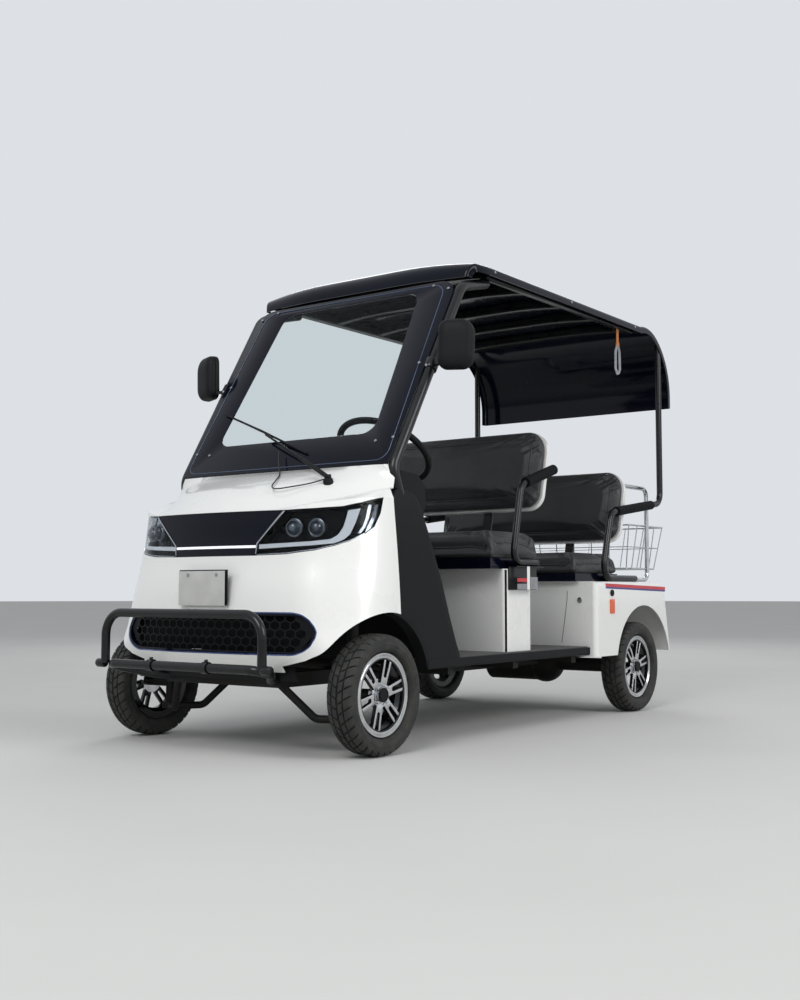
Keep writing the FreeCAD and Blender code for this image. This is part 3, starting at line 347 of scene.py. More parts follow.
# Sheet, tube and moulded surfaces, one row each. The second colour is where dust or wear
# shows in clouds of the mottle's size; the grain and its relief are the moulding's or the coat's.
SURFACES = (
    # slot, real material, colour, second colour, mottle, roughness, spread, grain, relief, metallic, coat
    # Sprayed in a polished mould: a clean, slightly soft white gloss
    ("white_body", "gelcoated_fibreglass", "#EFEFEC", "#ECECE9", 420, 0.28, 0.015, 14, 0.012, 0, 0.7),
    # Lacquered sheet: black with a clear, deep reflection; the blue in both its colours is a painted reflection of
    # the sky
    ("black_gloss", "lacquered_fibreglass", "#070A16", "#090D1B", 350, 0.12, 0.03, 12, 0.006, 0, 0.12),
    # Moulded with a fine grain: matt black with soft highlights
    ("black_plastic", "grained_abs", "#0E0F11", "#161719", 160, 0.52, 0.08, 1.6, 0.06, 0, 0),
    # Baked powder: fine orange peel and a satin shine along the tubes
    ("black_steel", "powder_coated_steel", "#08090B", "#101114", 90, 0.30, 0.07, 1.2, 0.025, 0, 0.2),
    # Brushed paint on rolled section: dull, with road dust
    ("chassis_steel", "painted_steel_section", "#141517", "#25231F", 130, 0.55, 0.12, 2.4, 0.05, 0, 0),
    # Plated and polished wire and tube: hard mirror lines
    ("bright_steel", "chromed_steel", "#D2D4D6", "#BFC2C4", 60, 0.13, 0.05, 4, 0.006, 1, 0),
    # Sand cast: pale grey metal with a faint tooth
    ("cast_alloy", "cast_aluminium", "#9A9C9D", "#808283", 40, 0.34, 0.08, 1.5, 0.04, 1, 0),
    # Moulded lamp bucket: a black that lets the bright parts stand out
    ("lamp_body", "moulded_lamp_housing", "#111214", "#1B1C1F", 60, 0.30, 0.06, 1.5, 0.02, 0, 0),
    # Foam sleeve: soft, light-eating black with open pores
    ("foam_rubber", "expanded_foam_sleeve", "#0D0E10", "#151618", 30, 0.72, 0.08, 1.1, 0.12, 0, 0),
    # Rolled rubber mat: grey, worn and dusty underfoot
    ("grey_mat", "ribbed_rubber_mat", "#4A4B4C", "#5C5A56", 120, 0.68, 0.10, 2.2, 0.10, 0, 0),
    # Extruded hose: smooth black with a faint sheen
    ("hose_rubber", "extruded_rubber_hose", "#0E0F10", "#1A1A1A", 25, 0.45, 0.08, 1.2, 0.03, 0, 0),
    # Turned face of the wheel: bright metal that catches the lamps
    ("machined_alloy", "machined_aluminium", "#D9DADB", "#C2C4C6", 35, 0.20, 0.05, 2, 0.012, 1, 0),
    # Paint in the wheel's pockets: black gloss between bright spokes
    ("pocket_paint", "gloss_wheel_paint", "#0A0B0D", "#131417", 40, 0.26, 0.05, 2, 0.02, 0, 0.4),
    # Metallised bowl: a clean mirror inside the lamp
    ("reflector", "vacuum_metallised_reflector", "#C9CDD4", "#B4B9C2", 30, 0.10, 0.04, 6, 0.01, 1, 0),
    # Satin plating: bright thin trim lines
    ("silver_trim", "satin_chrome_trim", "#B9BDC2", "#A6AAB0", 50, 0.22, 0.05, 3, 0.01, 1, 0),
    # Cast vinyl film: an even, strong red
    ("red_film", "red_vinyl_film", "#C81E26", "#B81A22", 60, 0.32, 0.05, 5, 0.01, 0, 0.3),
    # Cast vinyl film: an even, deep blue
    ("blue_film", "blue_vinyl_film", "#1B2F86", "#17286F", 60, 0.32, 0.05, 5, 0.01, 0, 0.3),
    # Painted plate without print: flat pale grey
    ("blank_plate", "painted_aluminium_plate", "#C9C9C6", "#BCBCB8", 70, 0.38, 0.06, 3, 0.02, 0, 0.2),
    # Thin film over black plastic: flat mid grey
    ("grey_film", "grey_vinyl_film", "#8E9092", "#7E8082", 40, 0.40, 0.05, 4, 0.01, 0, 0.1),
    # Zinc plating: small dull silver heads
    ("screw_steel", "zinc_plated_screw", "#A9ABAE", "#8D9093", 12, 0.28, 0.08, 1.5, 0.02, 1, 0),
    # Metallised strip: blue that turns silver in its clouds
    ("blue_trim", "blue_metallised_trim", "#1D3580", "#6F86B8", 46, 0.20, 0.06, 3, 0.01, 0.7, 0.6),
    # Polished edge of the plate: a thin blue-grey line
    ("seal_line", "polished_edge_line", "#4A5A78", "#3B4A66", 40, 0.25, 0.05, 3, 0.01, 0, 0.3),
    # Sealant and dark joints, and painted shade in open gaps and behind openings: black without shine
    ("shadow_gap", "black_sealant", "#08090A", "#0D0E0F", 20, 0.70, 0.08, 2, 0.03, 0, 0),
)

# How strongly a surface mirrors; dark sheets and foams throw back less of the sky
SHEEN = {"black_gloss": 0.12, "black_plastic": 0.16, "black_steel": 0.3, "foam_rubber": 0.12, "lamp_body": 0.2,
         "chassis_steel": 0.2, "shadow_gap": 0.1, "pocket_paint": 0.3}
PLAIN_SHEEN = 0.5
COAT_ROUGHNESS = 0.06


def make_surface(row, colours):
    """Coated or moulded material from its row; a user's colour takes the place of the first one."""
    slot, title, colour, second, mottle, rough, spread, grain, relief, metallic, coat = row
    material, tree, place = begin(title)
    clouds = put(tree, "ShaderNodeTexNoise", {"Vector": place, "Scale": per_mm(mottle), "Detail": 4}).outputs["Fac"]
    fine = put(tree, "ShaderNodeTexNoise", {"Vector": place, "Scale": per_mm(grain), "Detail": 2}).outputs["Fac"]
    share = put(tree, "ShaderNodeMapRange", {"Value": clouds, **CLOUDS}).outputs[0]
    tint = put(tree, "ShaderNodeMix", {0: share, 6: colours.get(slot, linear(colour)), 7: linear(second)},
               data_type="RGBA").outputs[2]
    polish = put(tree, "ShaderNodeMapRange", {
        "Value": clouds, **CLOUDS, "To Min": rough - spread, "To Max": rough + spread}).outputs[0]
    bump = put(tree, "ShaderNodeBump", {"Height": fine, "Distance": relief * MM, "Strength": 1.0}).outputs[0]
    close(tree, "ShaderNodeBsdfPrincipled", {
        "Base Color": tint, "Roughness": polish, "Normal": bump, "Metallic": metallic, "Coat Weight": coat,
        "Coat Roughness": COAT_ROUGHNESS, "Specular IOR Level": SHEEN.get(slot, PLAIN_SHEEN)})
    finishes[slot] = material


def make_tyre_rubber():
    """Vulcanised rubber: near black, matt, with road dust in clouds."""
    material, tree, place = begin("vulcanised_rubber")
    clouds = put(tree, "ShaderNodeTexNoise", {"Vector": place, "Scale": per_mm(34), "Detail": 5}).outputs["Fac"]
    fine = put(tree, "ShaderNodeTexNoise", {"Vector": place, "Scale": per_mm(1.4), "Detail": 2}).outputs["Fac"]
    dust = put(tree, "ShaderNodeMapRange", {"Value": clouds, "From Min": 0.35, "From Max": 0.75}).outputs[0]
    tint = put(tree, "ShaderNodeMix", {0: dust, 6: linear("#1B1C1C"), 7: linear("#35332F")},
               data_type="RGBA").outputs[2]
    polish = put(tree, "ShaderNodeMapRange", {
        "Value": fine, **CLOUDS, "To Min": 0.62, "To Max": 0.86}).outputs[0]
    bump = put(tree, "ShaderNodeBump", {"Height": fine, "Distance": 0.08 * MM, "Strength": 1.0}).outputs[0]
    close(tree, "ShaderNodeBsdfPrincipled", {"Base Color": tint, "Roughness": polish, "Normal": bump, "IOR": 1.52})
    finishes["tyre_rubber"] = material


def make_leathercloth(colour):
    """PVC leathercloth: small pebble grain with pressed creases, a soft sheen on the crowns."""
    material, tree, place = begin("pvc_leathercloth")
    pebbles = put(tree, "ShaderNodeTexVoronoi", {"Vector": place, "Scale": per_mm(3.2)},
                  feature="DISTANCE_TO_EDGE").outputs["Distance"]
    creases = put(tree, "ShaderNodeTexNoise", {"Vector": place, "Scale": per_mm(55), "Detail": 6}).outputs["Fac"]
    clouds = put(tree, "ShaderNodeTexNoise", {"Vector": place, "Scale": per_mm(140), "Detail": 3}).outputs["Fac"]
    domes = put(tree, "ShaderNodeMapRange", {"Value": pebbles, "From Min": 0.0, "From Max": 0.22}).outputs[0]
    grain = put(tree, "ShaderNodeBump", {"Height": domes, "Distance": 0.10 * MM, "Strength": 1.0}).outputs[0]
    share = put(tree, "ShaderNodeMapRange", {"Value": clouds, **CLOUDS}).outputs[0]
    tint = put(tree, "ShaderNodeMix", {0: share, 6: colour, 7: linear("#1C1D20")}, data_type="RGBA").outputs[2]
    polish = put(tree, "ShaderNodeMapRange", {
        "Value": creases, **CLOUDS, "To Min": 0.40, "To Max": 0.58}).outputs[0]
    bump = put(tree, "ShaderNodeBump", {
        "Height": creases, "Distance": 0.9 * MM, "Strength": 1.0, "Normal": grain}).outputs[0]
    close(tree, "ShaderNodeBsdfPrincipled", {
        "Base Color": tint, "Roughness": polish, "Normal": bump, "IOR": 1.5, "Sheen Weight": 0.15,
        "Sheen Roughness": 0.5})
    finishes["black_leather"] = material


# See-through plastics, one row each; the smears change how clearly they show what is behind
CLEAR = (
    # slot, real material, colour, smear width, detail, least and most roughness, IOR, transmission
    # Hard-coated windshield sheet: all but unseen, with a faint smoke tint
    ("clear_glass", "clear_polycarbonate", "#E4ECEC", 160, 4, 0.0, 0.05, 1.1, 1.0),
    # Lightly smoked lamp cover: greys the lamp behind it
    ("lamp_glass", "smoked_polycarbonate", "#C4C8CC", 90, 3, 0.01, 0.04, 1.15, 1.0),
    # Thick sleeve: cloudy edges with hard highlights
    ("clear_vinyl", "clear_vinyl", "#E6EAEE", 14, 3, 0.05, 0.2, 1.3, 0.7),
)


def make_clear(row):
    """See-through material from its row."""
    slot, title, colour, width, detail, least, most, bending, through = row
    material, tree, place = begin(title)
    smears = put(tree, "ShaderNodeTexNoise", {
        "Vector": place, "Scale": per_mm(width), "Detail": detail}).outputs["Fac"]
    polish = put(tree, "ShaderNodeMapRange", {
        "Value": smears, **CLOUDS, "To Min": least, "To Max": most}).outputs[0]
    close(tree, "ShaderNodeBsdfPrincipled", {
        "Base Color": linear(colour), "Roughness": polish, "IOR": bending, "Transmission Weight": through})
    finishes[slot] = material


def make_projector_glass():
    """Thick clear lens over a dark projector, drawn opaque: dark grey for the projector behind it, with a blue tint
    and lighter smears that are painted sky glints; the hard highlight comes from the coat.
    """
    material, tree, place = begin("projector_glass")
    smears = put(tree, "ShaderNodeTexNoise", {"Vector": place, "Scale": per_mm(40), "Detail": 3}).outputs["Fac"]
    # Painted glint: the blue-grey colours, lighter in the smears, stand for the sky glinting in the lens
    tint = put(tree, "ShaderNodeMix", {0: smears, 6: linear("#2A3340"), 7: linear("#45525F")},
               data_type="RGBA").outputs[2]
    polish = put(tree, "ShaderNodeMapRange", {
        "Value": smears, **CLOUDS, "To Min": 0.02, "To Max": 0.06}).outputs[0]
    close(tree, "ShaderNodeBsdfPrincipled", {
        "Base Color": tint, "Roughness": polish, "Coat Weight": 1.0, "Coat Roughness": 0.02, "IOR": 1.55})
    finishes["lamp_lens"] = material


def make_light_guide():
    """Clear acrylic light guide, lit white from within."""
    material, tree, place = begin("lit_acrylic_guide")
    bands = put(tree, "ShaderNodeTexNoise", {"Vector": place, "Scale": per_mm(8), "Detail": 2}).outputs["Fac"]
    polish = put(tree, "ShaderNodeMapRange", {
        "Value": bands, **CLOUDS, "To Min": 0.12, "To Max": 0.24}).outputs[0]
    close(tree, "ShaderNodeBsdfPrincipled", {
        "Base Color": linear("#F4F7FA"), "Roughness": polish, "Emission Color": linear("#F4F7FA"),
        "Emission Strength": 0.4})
    finishes["light_guide"] = material


def make_coloured_lens(slot, title, colour, second):
    """Coloured acrylic with square prism cells pressed behind it."""
    material, tree, place = begin(title)
    cells = put(tree, "ShaderNodeTexChecker", {"Vector": place, "Scale": per_mm(7)}).outputs["Fac"]
    tint = put(tree, "ShaderNodeMix", {0: cells, 6: linear(colour), 7: linear(second)},
               data_type="RGBA").outputs[2]
    polish = put(tree, "ShaderNodeMapRange", {
        "Value": cells, **CLOUDS, "To Min": 0.12, "To Max": 0.2}).outputs[0]
    bump = put(tree, "ShaderNodeBump", {"Height": cells, "Distance": 0.4 * MM, "Strength": 1.0}).outputs[0]
    close(tree, "ShaderNodeBsdfPrincipled", {
        "Base Color": tint, "Roughness": polish, "Normal": bump, "Coat Weight": 0.8, "Coat Roughness": 0.04,
        "IOR": 1.49})
    finishes[slot] = material


def make_webbing():
    """Woven polyester webbing: a plain weave drawn wide enough to show from afar."""
    material, tree, place = begin("woven_webbing")
    weave = put(tree, "ShaderNodeTexWave", {"Vector": place, "Scale": per_mm(4), "Distortion": 0.4},
                wave_type="BANDS", bands_direction="Z").outputs["Fac"]
    tint = put(tree, "ShaderNodeMix", {0: weave, 6: linear("#B8660F"), 7: linear("#D98222")},
               data_type="RGBA").outputs[2]
    bump = put(tree, "ShaderNodeBump", {"Height": weave, "Distance": 0.3 * MM, "Strength": 1.0}).outputs[0]
    close(tree, "ShaderNodeBsdfPrincipled", {
        "Base Color": tint, "Roughness": 0.78, "Normal": bump, "Sheen Weight": 0.3})
    finishes["strap_fabric"] = material


def make_mirror_glass():
    """Silvered glass: a clean reflection with faint smears."""
    material, tree, place = begin("silvered_glass")
    smears = put(tree, "ShaderNodeTexNoise", {"Vector": place, "Scale": per_mm(60), "Detail": 3}).outputs["Fac"]
    polish = put(tree, "ShaderNodeMapRange", {
        "Value": smears, **CLOUDS, "To Min": 0.01, "To Max": 0.05}).outputs[0]
    close(tree, "ShaderNodeBsdfPrincipled", {"Base Color": linear("#C8CFD2"), "Metallic": 1.0, "Roughness": polish})
    finishes["mirror_glass"] = material


def make_finishes(colours):
    """Every finish, with the user's colours where there are any."""
    chosen = {"white_body": tuple(colours.body), "black_gloss": tuple(colours.gloss)}
    for row in SURFACES:
        make_surface(row, chosen)
    for row in CLEAR:
        make_clear(row)
    make_tyre_rubber()
    make_leathercloth(tuple(colours.cover))
    make_projector_glass()
    make_light_guide()
    make_coloured_lens("red_lens", "red_acrylic_lens", "#9E1016", "#C21A20")
    make_coloured_lens("amber_lens", "orange_acrylic_reflector", "#E0541A", "#F06A2A")
    make_webbing()
    make_mirror_glass()


# Stage and camera

CAMERA_PLACE = (3.1450, -4.4514, 0.5649)
CAMERA_TURN = (math.radians(94.18), 0.0, math.radians(36.37))
CAMERA_LENS = 44.35
SENSOR = 36.0


def show_background(tree, lit, colour):
    """Shows one plain colour to the camera, in gloss and through glass, and the lit one elsewhere."""
    paths = put(tree, "ShaderNodeLightPath").outputs
    either = put(tree, "ShaderNodeMath", {0: paths["Is Camera Ray"], 1: paths["Is Glossy Ray"]},
                 operation="MAXIMUM").outputs[0]
    seen = put(tree, "ShaderNodeMath", {0: either, 1: paths["Is Transmission Ray"]},
               operation="MAXIMUM").outputs[0]
    plain = put(tree, "ShaderNodeBackground", {"Color": linear(colour), "Strength": 1.0})
    return put(tree, "ShaderNodeMixShader", {0: seen, 1: lit.outputs[0], 2: plain.outputs[0]})


def make_world(strength):
    """Soft even sky: lights the cart and stands pale behind it."""
    bpy.context.scene.view_settings.view_transform = "Standard"
    world = bpy.data.worlds.new("soft_sky")
    bpy.context.scene.world = world
    world.use_nodes = True
    tree = world.node_tree
    tree.nodes.clear()
    lit = put(tree, "ShaderNodeBackground", {"Color": linear("#EEF1F6"), "Strength": strength})
    shown = show_background(tree, lit, "#DDE1E6")
    put(tree, "ShaderNodeOutputWorld", {"Surface": shown.outputs[0]})


def make_lamp(name, place, target, size, power, colour="#FFFFFF"):
    """Round soft lamp that looks at its target."""
    data = bpy.data.lights.new(name, "AREA")
    data.shape = "DISK"
    data.size = size
    data.energy = power
    data.color = linear(colour)[:3]
    lamp = bpy.data.objects.new(name, data)
    lamp.location = place
    lamp.rotation_euler = (Vector(target) - Vector(place)).to_track_quat("-Z", "Y").to_euler()
    bpy.context.collection.objects.link(lamp)


def make_camera():
    """Camera at the place from which the cart is seen."""
    data = bpy.data.cameras.new("photo_camera")
    data.lens = CAMERA_LENS
    data.sensor_width = SENSOR
    camera = bpy.data.objects.new("photo_camera", data)
    camera.location = CAMERA_PLACE
    camera.rotation_euler = CAMERA_TURN
    bpy.context.collection.objects.link(camera)
    bpy.context.scene.camera = camera


def make_floor():
    """Pale matt floor, wide enough to meet the sky."""
    clear_selection()
    bpy.ops.mesh.primitive_circle_add(vertices=96, radius=60, fill_type="NGON")
    floor = settle(bpy.context.object, "studio_floor")
    material, tree, place = begin("pale_screed")
    clouds = put(tree, "ShaderNodeTexNoise", {"Vector": place, "Scale": per_mm(900), "Detail": 5}).outputs["Fac"]
    tint = put(tree, "ShaderNodeMix", {0: clouds, 6: linear("#D6D6D3"), 7: linear("#CDCDCA")},
               data_type="RGBA").outputs[2]
    close(tree, "ShaderNodeBsdfPrincipled", {"Base Color": tint, "Roughness": 0.85, "Specular IOR Level": 0.2})
    floor.data.materials.append(material)


# Front body

# Rows of the nose and of the bonnet: height, foremost y, half width, corner and plan radius
# Where the cutting tools for the nose start, well ahead of it
TOOL_START = -420
NOSE_ROWS = ((287, -242, 578, 110, 1750), (332, -270, 593, 150, 1750), (437, -269, 593, 250, 1750),
             (560, -256, 587, 285, 1750), (684, -232, 578, 298, 1750), (840, -233, 565, 338, 1750),
             (900, -231, 561, 345, 1750))
BONNET_ROWS = ((885, -176, 556, 90, 790), (925, -122, 556, 40, 745), (968, -16, 556, 30, 1084),
               (1010, 107, 514, 20, 20000))
BAND_TOP = 840
LAMP_INNER = 315
ARC_SHARE = 0.34
LAMP = ((198, 684), (324, 687), (422, 699), (478, 715), (511, 731), (538, 755), (552, 782), (556, 829),
        (555, 889), (522, 867), (485, 852), (413, 845), (LAMP_INNER, 840), (201, 725))
GRILLE = ((374, 490), (409, 484), (438, 464), (456, 442), (465, 424), (463, 402), (448, 375), (424, 357),
          (385, 343))


def nose_row(height):
    """Row of the nose at any height, smooth through the given ones."""
    rows = NOSE_ROWS
    index = next((i for i in range(len(rows) - 2) if height < rows[i + 1][0]), len(rows) - 2)
    low, high = rows[index], rows[index + 1]
    before, after = rows[max(index - 1, 0)], rows[min(index + 2, len(rows) - 1)]
    span = high[0] - low[0]
    t = (height - low[0]) / span
    values = [height]
    for k in range(1, 5):
        into = (high[k] - before[k]) / max(high[0] - before[0], 1) * span
        out = (after[k] - low[k]) / max(after[0] - low[0], 1) * span
        values.append((2 * t ** 3 - 3 * t ** 2 + 1) * low[k] + (t ** 3 - 2 * t ** 2 + t) * into
                      + (3 * t ** 2 - 2 * t ** 3) * high[k] + (t ** 3 - t ** 2) * out)
    return values


def row_point(row, share, seam, wall=0):
    """Place on a row: share 0 in the middle, 1 at the seam; moved inwards by a wall."""
    height, front, half, corner, arc = row
    front, half, corner, arc = front + wall, half - wall, corner - wall, arc - wall
    angle = math.asin((half - corner) / (arc - corner))
    side_y = front + arc - (arc - corner) * math.cos(angle)
    if share <= ARC_SHARE:
        a = angle * share / ARC_SHARE
        return Vector((arc * math.sin(a), front + arc * (1 - math.cos(a)), height))
    rest = (share - ARC_SHARE) / (1 - ARC_SHARE)
    last = math.pi / 2 if side_y <= seam else math.acos(min(1, max(-1, (side_y - seam) / corner)))
    bend_length = corner * (last - angle)
    length = bend_length + max(0, seam - side_y)
    if rest * length <= bend_length or side_y > seam:
        a = angle + (last - angle) * min(1, rest * length / bend_length)
        return Vector((half - corner + corner * math.sin(a), side_y - corner * math.cos(a), height))
    return Vector((half, side_y + rest * length - bend_length, height))


def crest(x):
    """Height of the crease under the brow: level over the band, rising along the lamps."""
    return BAND_TOP + 0.19 * max(0, abs(x) - LAMP_INNER)


def nose_skin(name, wall, thick, top=None, steps=26, around=40):
    """Sheet of the nose up to the crease or the bonnet, a wall inside the outer face."""
    half_rows = []
    for step in range(steps + 1):
        points = []
        for k in range(around + 1):
            share = k / around
            reach = row_point(nose_row(860), share, 92)
            height = 287 + (crest(reach.x) - 287) * step / steps
            points.append(row_point(nose_row(height), share, 92, wall))
        half_rows.append(points)
    if top:
        for row, seam in zip(BONNET_ROWS[1:], (106, 116, 165)):
            above = [row_point(row, k / around, seam, wall) - Vector((0, 0, wall)) for k in range(around + 1)]
            below = half_rows[-1]
            half_rows.append([(a + b) / 2 for a, b in zip(below, above)])
            half_rows.append(above)
        half_rows.append([Vector((p.x, 165, p.z)) for p in half_rows[-1]])
    rows = [[at(-p.x, p.y, p.z) for p in points[:0:-1]] + [at(*p) for p in points] for points in half_rows]
    piece = skinned(name, rows)
    if piece.data.polygons[len(piece.data.polygons) // 3].normal.y > 0:
        piece.data.flip_normals()
    return applied(piece, "SOLIDIFY", thickness=thick * MM, offset=-1)


def prism(name, corners, near, far):
    """Front-view outline of (x, z) carried from one y to another."""
    outline = [at(x, near, z) for x, z in corners]
    return slab(name, outline, Vector((0, (far - near) * MM, 0)))


def both_sides(corners):
    """Closed outline made of the corners and their mirror image."""
    return list(corners) + [(-x, z) for x, z in reversed(corners)]


def drawn_in(corners, inset):
    """Outline moved inwards by about an inset."""
    count = len(corners)
    area = sum(corners[k - 1][0] * corners[k][1] - corners[k][0] * corners[k - 1][1] for k in range(count))
    way = 1 if area > 0 else -1
    result = []
    for k, (x, z) in enumerate(corners):
        before, after = corners[k - 1], corners[(k + 1) % count]
        a = Vector((x - before[0], z - before[1])).normalized()
        b = Vector((after[0] - x, after[1] - z)).normalized()
        inward = (Vector((-a.y, a.x)) + Vector((-b.y, b.x))) * way
        scale = inset / max(0.35, (1 + a.dot(b)) / 2) / 2
        result.append((x + inward.x * scale, z + inward.y * scale))
    return result


def cut(piece, tool, operation="DIFFERENCE"):
    """Boolean with a tool that goes afterwards."""
    applied(piece, "BOOLEAN", object=tool, operation=operation, solver="EXACT")
    bpy.data.objects.remove(tool, do_unlink=True)
    return piece


def nose_y(x, z, wall=0):
    """Depth of the nose's face at a place of the front view."""
    low, high = 0.0, 1.0
    for _ in range(24):
        share = (low + high) / 2
        if row_point(nose_row(z), share, 92, wall).x < abs(x):
            low = share
        else:
            high = share
    return row_point(nose_row(z), (low + high) / 2, 92, wall).y


def nose_ribbon(name, lower, upper, wall, thick, steps=40):
    """Strip on the nose between two front-view lines."""
    rows = []
    for edge in (0, 0.5, 1):
        points = []
        for k in range(steps + 1):
            x0, z0 = along_line(lower, k / steps)
            x1, z1 = along_line(upper, k / steps)
            x, z = x0 + (x1 - x0) * edge, z0 + (z1 - z0) * edge
            points.append(at(x, nose_y(x, z, wall), z))
        rows.append(points)
    piece = skinned(name, rows)
    if piece.data.polygons[steps // 2].normal.y > 0:
        piece.data.flip_normals()
    return smoothed(applied(piece, "SOLIDIFY", thickness=thick * MM, offset=1), 50)


def along_line(points, share):
    """Place at a share of a broken line's length."""
    lengths = [math.dist(points[k], points[k + 1]) for k in range(len(points) - 1)]
    left = share * sum(lengths)
    for k, length in enumerate(lengths):
        if left <= length or k == len(lengths) - 1:
            t = min(1, left / length)
            return [a + (b - a) * t for a, b in zip(points[k], points[k + 1])]
        left -= length


def make_front_shell():
    """White front body with lamp and grille openings and round wheel arches."""
    shell = nose_skin("front_shell", 0, 4, top=True)
    cut(shell, prism("window_tool", both_sides(LAMP[:13]), TOOL_START, 64))
    cut(shell, prism("mouth_tool", mouth_outline(), TOOL_START, 0))
    for sign in (1, -1):
        arch = rod("arch_tool", at(330 * sign, 30, 212), at(720 * sign, 30, 212), 276, 96)
        cut(shell, arch)
    eased(smoothed(shell, 32), 1.2, 2, 50)
    done(shell, "white_body", stands_for=("front_cowl",))


def make_band():
    """Gloss black band between the lamps with its bright lower strip."""
    ring = both_sides(((196, 684.8), (199, 725), (312, 839.2)))
    band = cut(nose_skin("band_panel", 1, 3), prism("band_tool", ring, TOOL_START, 0), "INTERSECT")
    done(smoothed(band), "black_gloss", stands_for=("lamp_band",))
    strip = nose_ribbon("band_strip", ((-196, 711.5), (196, 711.5)), ((-197, 720.5), (197, 720.5)), 1, 1.5)
    done(strip, "light_guide")


LAMP_STRIPS = (
    # name, finish, lower line, upper line, depth, thickness
    ("lamp_guide", "light_guide", ((206, 708), (324, 713), (403, 717), (468, 724), (490, 737), (502, 757),
                                   (510, 800), (514, 846)),
     ((206, 723), (324, 727), (403, 731), (457, 738), (475, 753), (485, 780), (489, 812), (491, 838)), 9, 3),
    ("lamp_reflector", "reflector", ((527, 752), (543, 765), (549, 782), (551, 829), (551, 876)),
     ((527, 756), (529, 781), (533, 814), (534, 845), (534, 860)), 12, 3),
    ("lamp_hook", "silver_trim", ((519, 760), (526, 782), (529, 814), (529, 858)),
     ((524, 757), (531, 781), (534, 814), (534, 860)), 5, 3),
    ("lamp_bezel", "silver_trim", ((200, 690), (204, 725), (318, 836)), ((197, 690), (200, 727), (311, 838)), 0, 2),
    ("lamp_bezel_low", "silver_trim", ((202, 686), (324, 690), (422, 702), (478, 718), (511, 734), (536, 757)),
     ((202, 689), (324, 693), (422, 705), (477, 721), (509, 737), (533, 759)), 2, 2),
)


def make_lamps():
    """Headlamps: cover, dark bucket, projectors, light guide, outer reflector and bright bezels."""
    inner = drawn_in(LAMP, 0.7)
    cover = cut(nose_skin("lamp_cover", 0, 2.5), prism("cover_tool", inner, TOOL_START, 62), "INTERSECT")
    done(with_twin(smoothed(cover), "lamp_covers"), "lamp_glass", stands_for=("headlamp_lenses",))
    bucket = cut(nose_skin("bucket", 3, 52), prism("bucket_tool", drawn_in(LAMP, 1.2), TOOL_START, 60), "INTERSECT")
    cut(bucket, cut(nose_skin("hollow", 2, 49), prism("hollow_tool", drawn_in(LAMP, 4), TOOL_START, 56), "INTERSECT"))
    done(with_twin(smoothed(bucket), "lamp_buckets"), "lamp_body", stands_for=("headlamp_housings",))
    for name, finish, lower, upper, depth, thick in LAMP_STRIPS:
        strip = nose_ribbon(name, lower, upper, depth, thick)
        done(with_twin(strip, f"{name}s"), finish)
    units = []
    for x in (330, 402):
        back = at(x, nose_y(x, 779, 44), 779)
        ahead = Vector((0.22, -1, 0)).normalized()
        units.append(rod("projector_ring", back, back + ahead * 0.024, 33, 40, 2))
        units.append(ring("projector_rim", back + ahead * 0.026, ahead, 27, 3))
    done(with_twin(joined("projector_rings", units), "projectors"), "silver_trim")
    glasses = []
    for x in (330, 402):
        back = at(x, nose_y(x, 779, 44), 779)
        ahead = Vector((0.22, -1, 0)).normalized()
        clear_selection()
        bpy.ops.mesh.primitive_uv_sphere_add(segments=32, ring_count=16, radius=0.026,
                                             location=back + ahead * 0.020)
        glasses.append(settle(bpy.context.object, "projector_glass"))
    done(with_twin(smoothed(joined("projector_lens", glasses)), "projector_lenses"), "lamp_lens")


def mouth_outline():
    """The mouth's outline with its bends rounded off."""
    return rounded_corners(both_sides(GRILLE), [110, 60, 34, 26, 22, 26, 34, 60, 110] * 2, 4)


def mouth_ring(name, out, inset, slim, depth):
    """Ring of the nose between two insets of the mouth."""
    ring_out = cut(nose_skin(name, out, depth), prism("ring_tool", drawn_in(mouth_outline(), inset), TOOL_START, 0),
                   "INTERSECT")
    return cut(ring_out, prism("ring_hole", drawn_in(mouth_outline(), slim), TOOL_START, 0))


def make_grille():
    """Gloss black lip round the mouth with a thin blue and bright line, and a black sheet behind the mesh as painted
    shade inside the mouth.
    """
    lip = mouth_ring("mouth_lip", -0.5, 3.6, 13, 20)
    done(smoothed(eased(lip, 1.2, 2, 40)), "black_gloss", stands_for=("grille_trim",))
    done(smoothed(eased(mouth_ring("mouth_line", -2, 0.4, 4.4, 12), 0.8, 2, 40)), "blue_trim")
    # Painted shade: a black sheet deep in the mouth stands for the dark inside behind the mesh
    shade_sheet = nose_skin("mouth_shade_sheet", 30, 3)
    cut(shade_sheet, prism("backing_tool", drawn_in(mouth_outline(), 13), TOOL_START, 0), "INTERSECT")
    done(shade_sheet, "shadow_gap")


def make_plate():
    """Blank licence plate with its two screws."""
    plate = block("blank_plate", at(-118, -283, 510), at(110, -281.5, 632), 1.2)
    done(plate, "blank_plate")
    screws = joined("plate_screws", [rod("plate_screw", at(x, -286, 618), at(x, -283, 618), 6, 20, 0.8)
                                     for x in (-70, 70)])
    done(screws, "screw_steel")


# Wheels

SLANT = 0.62
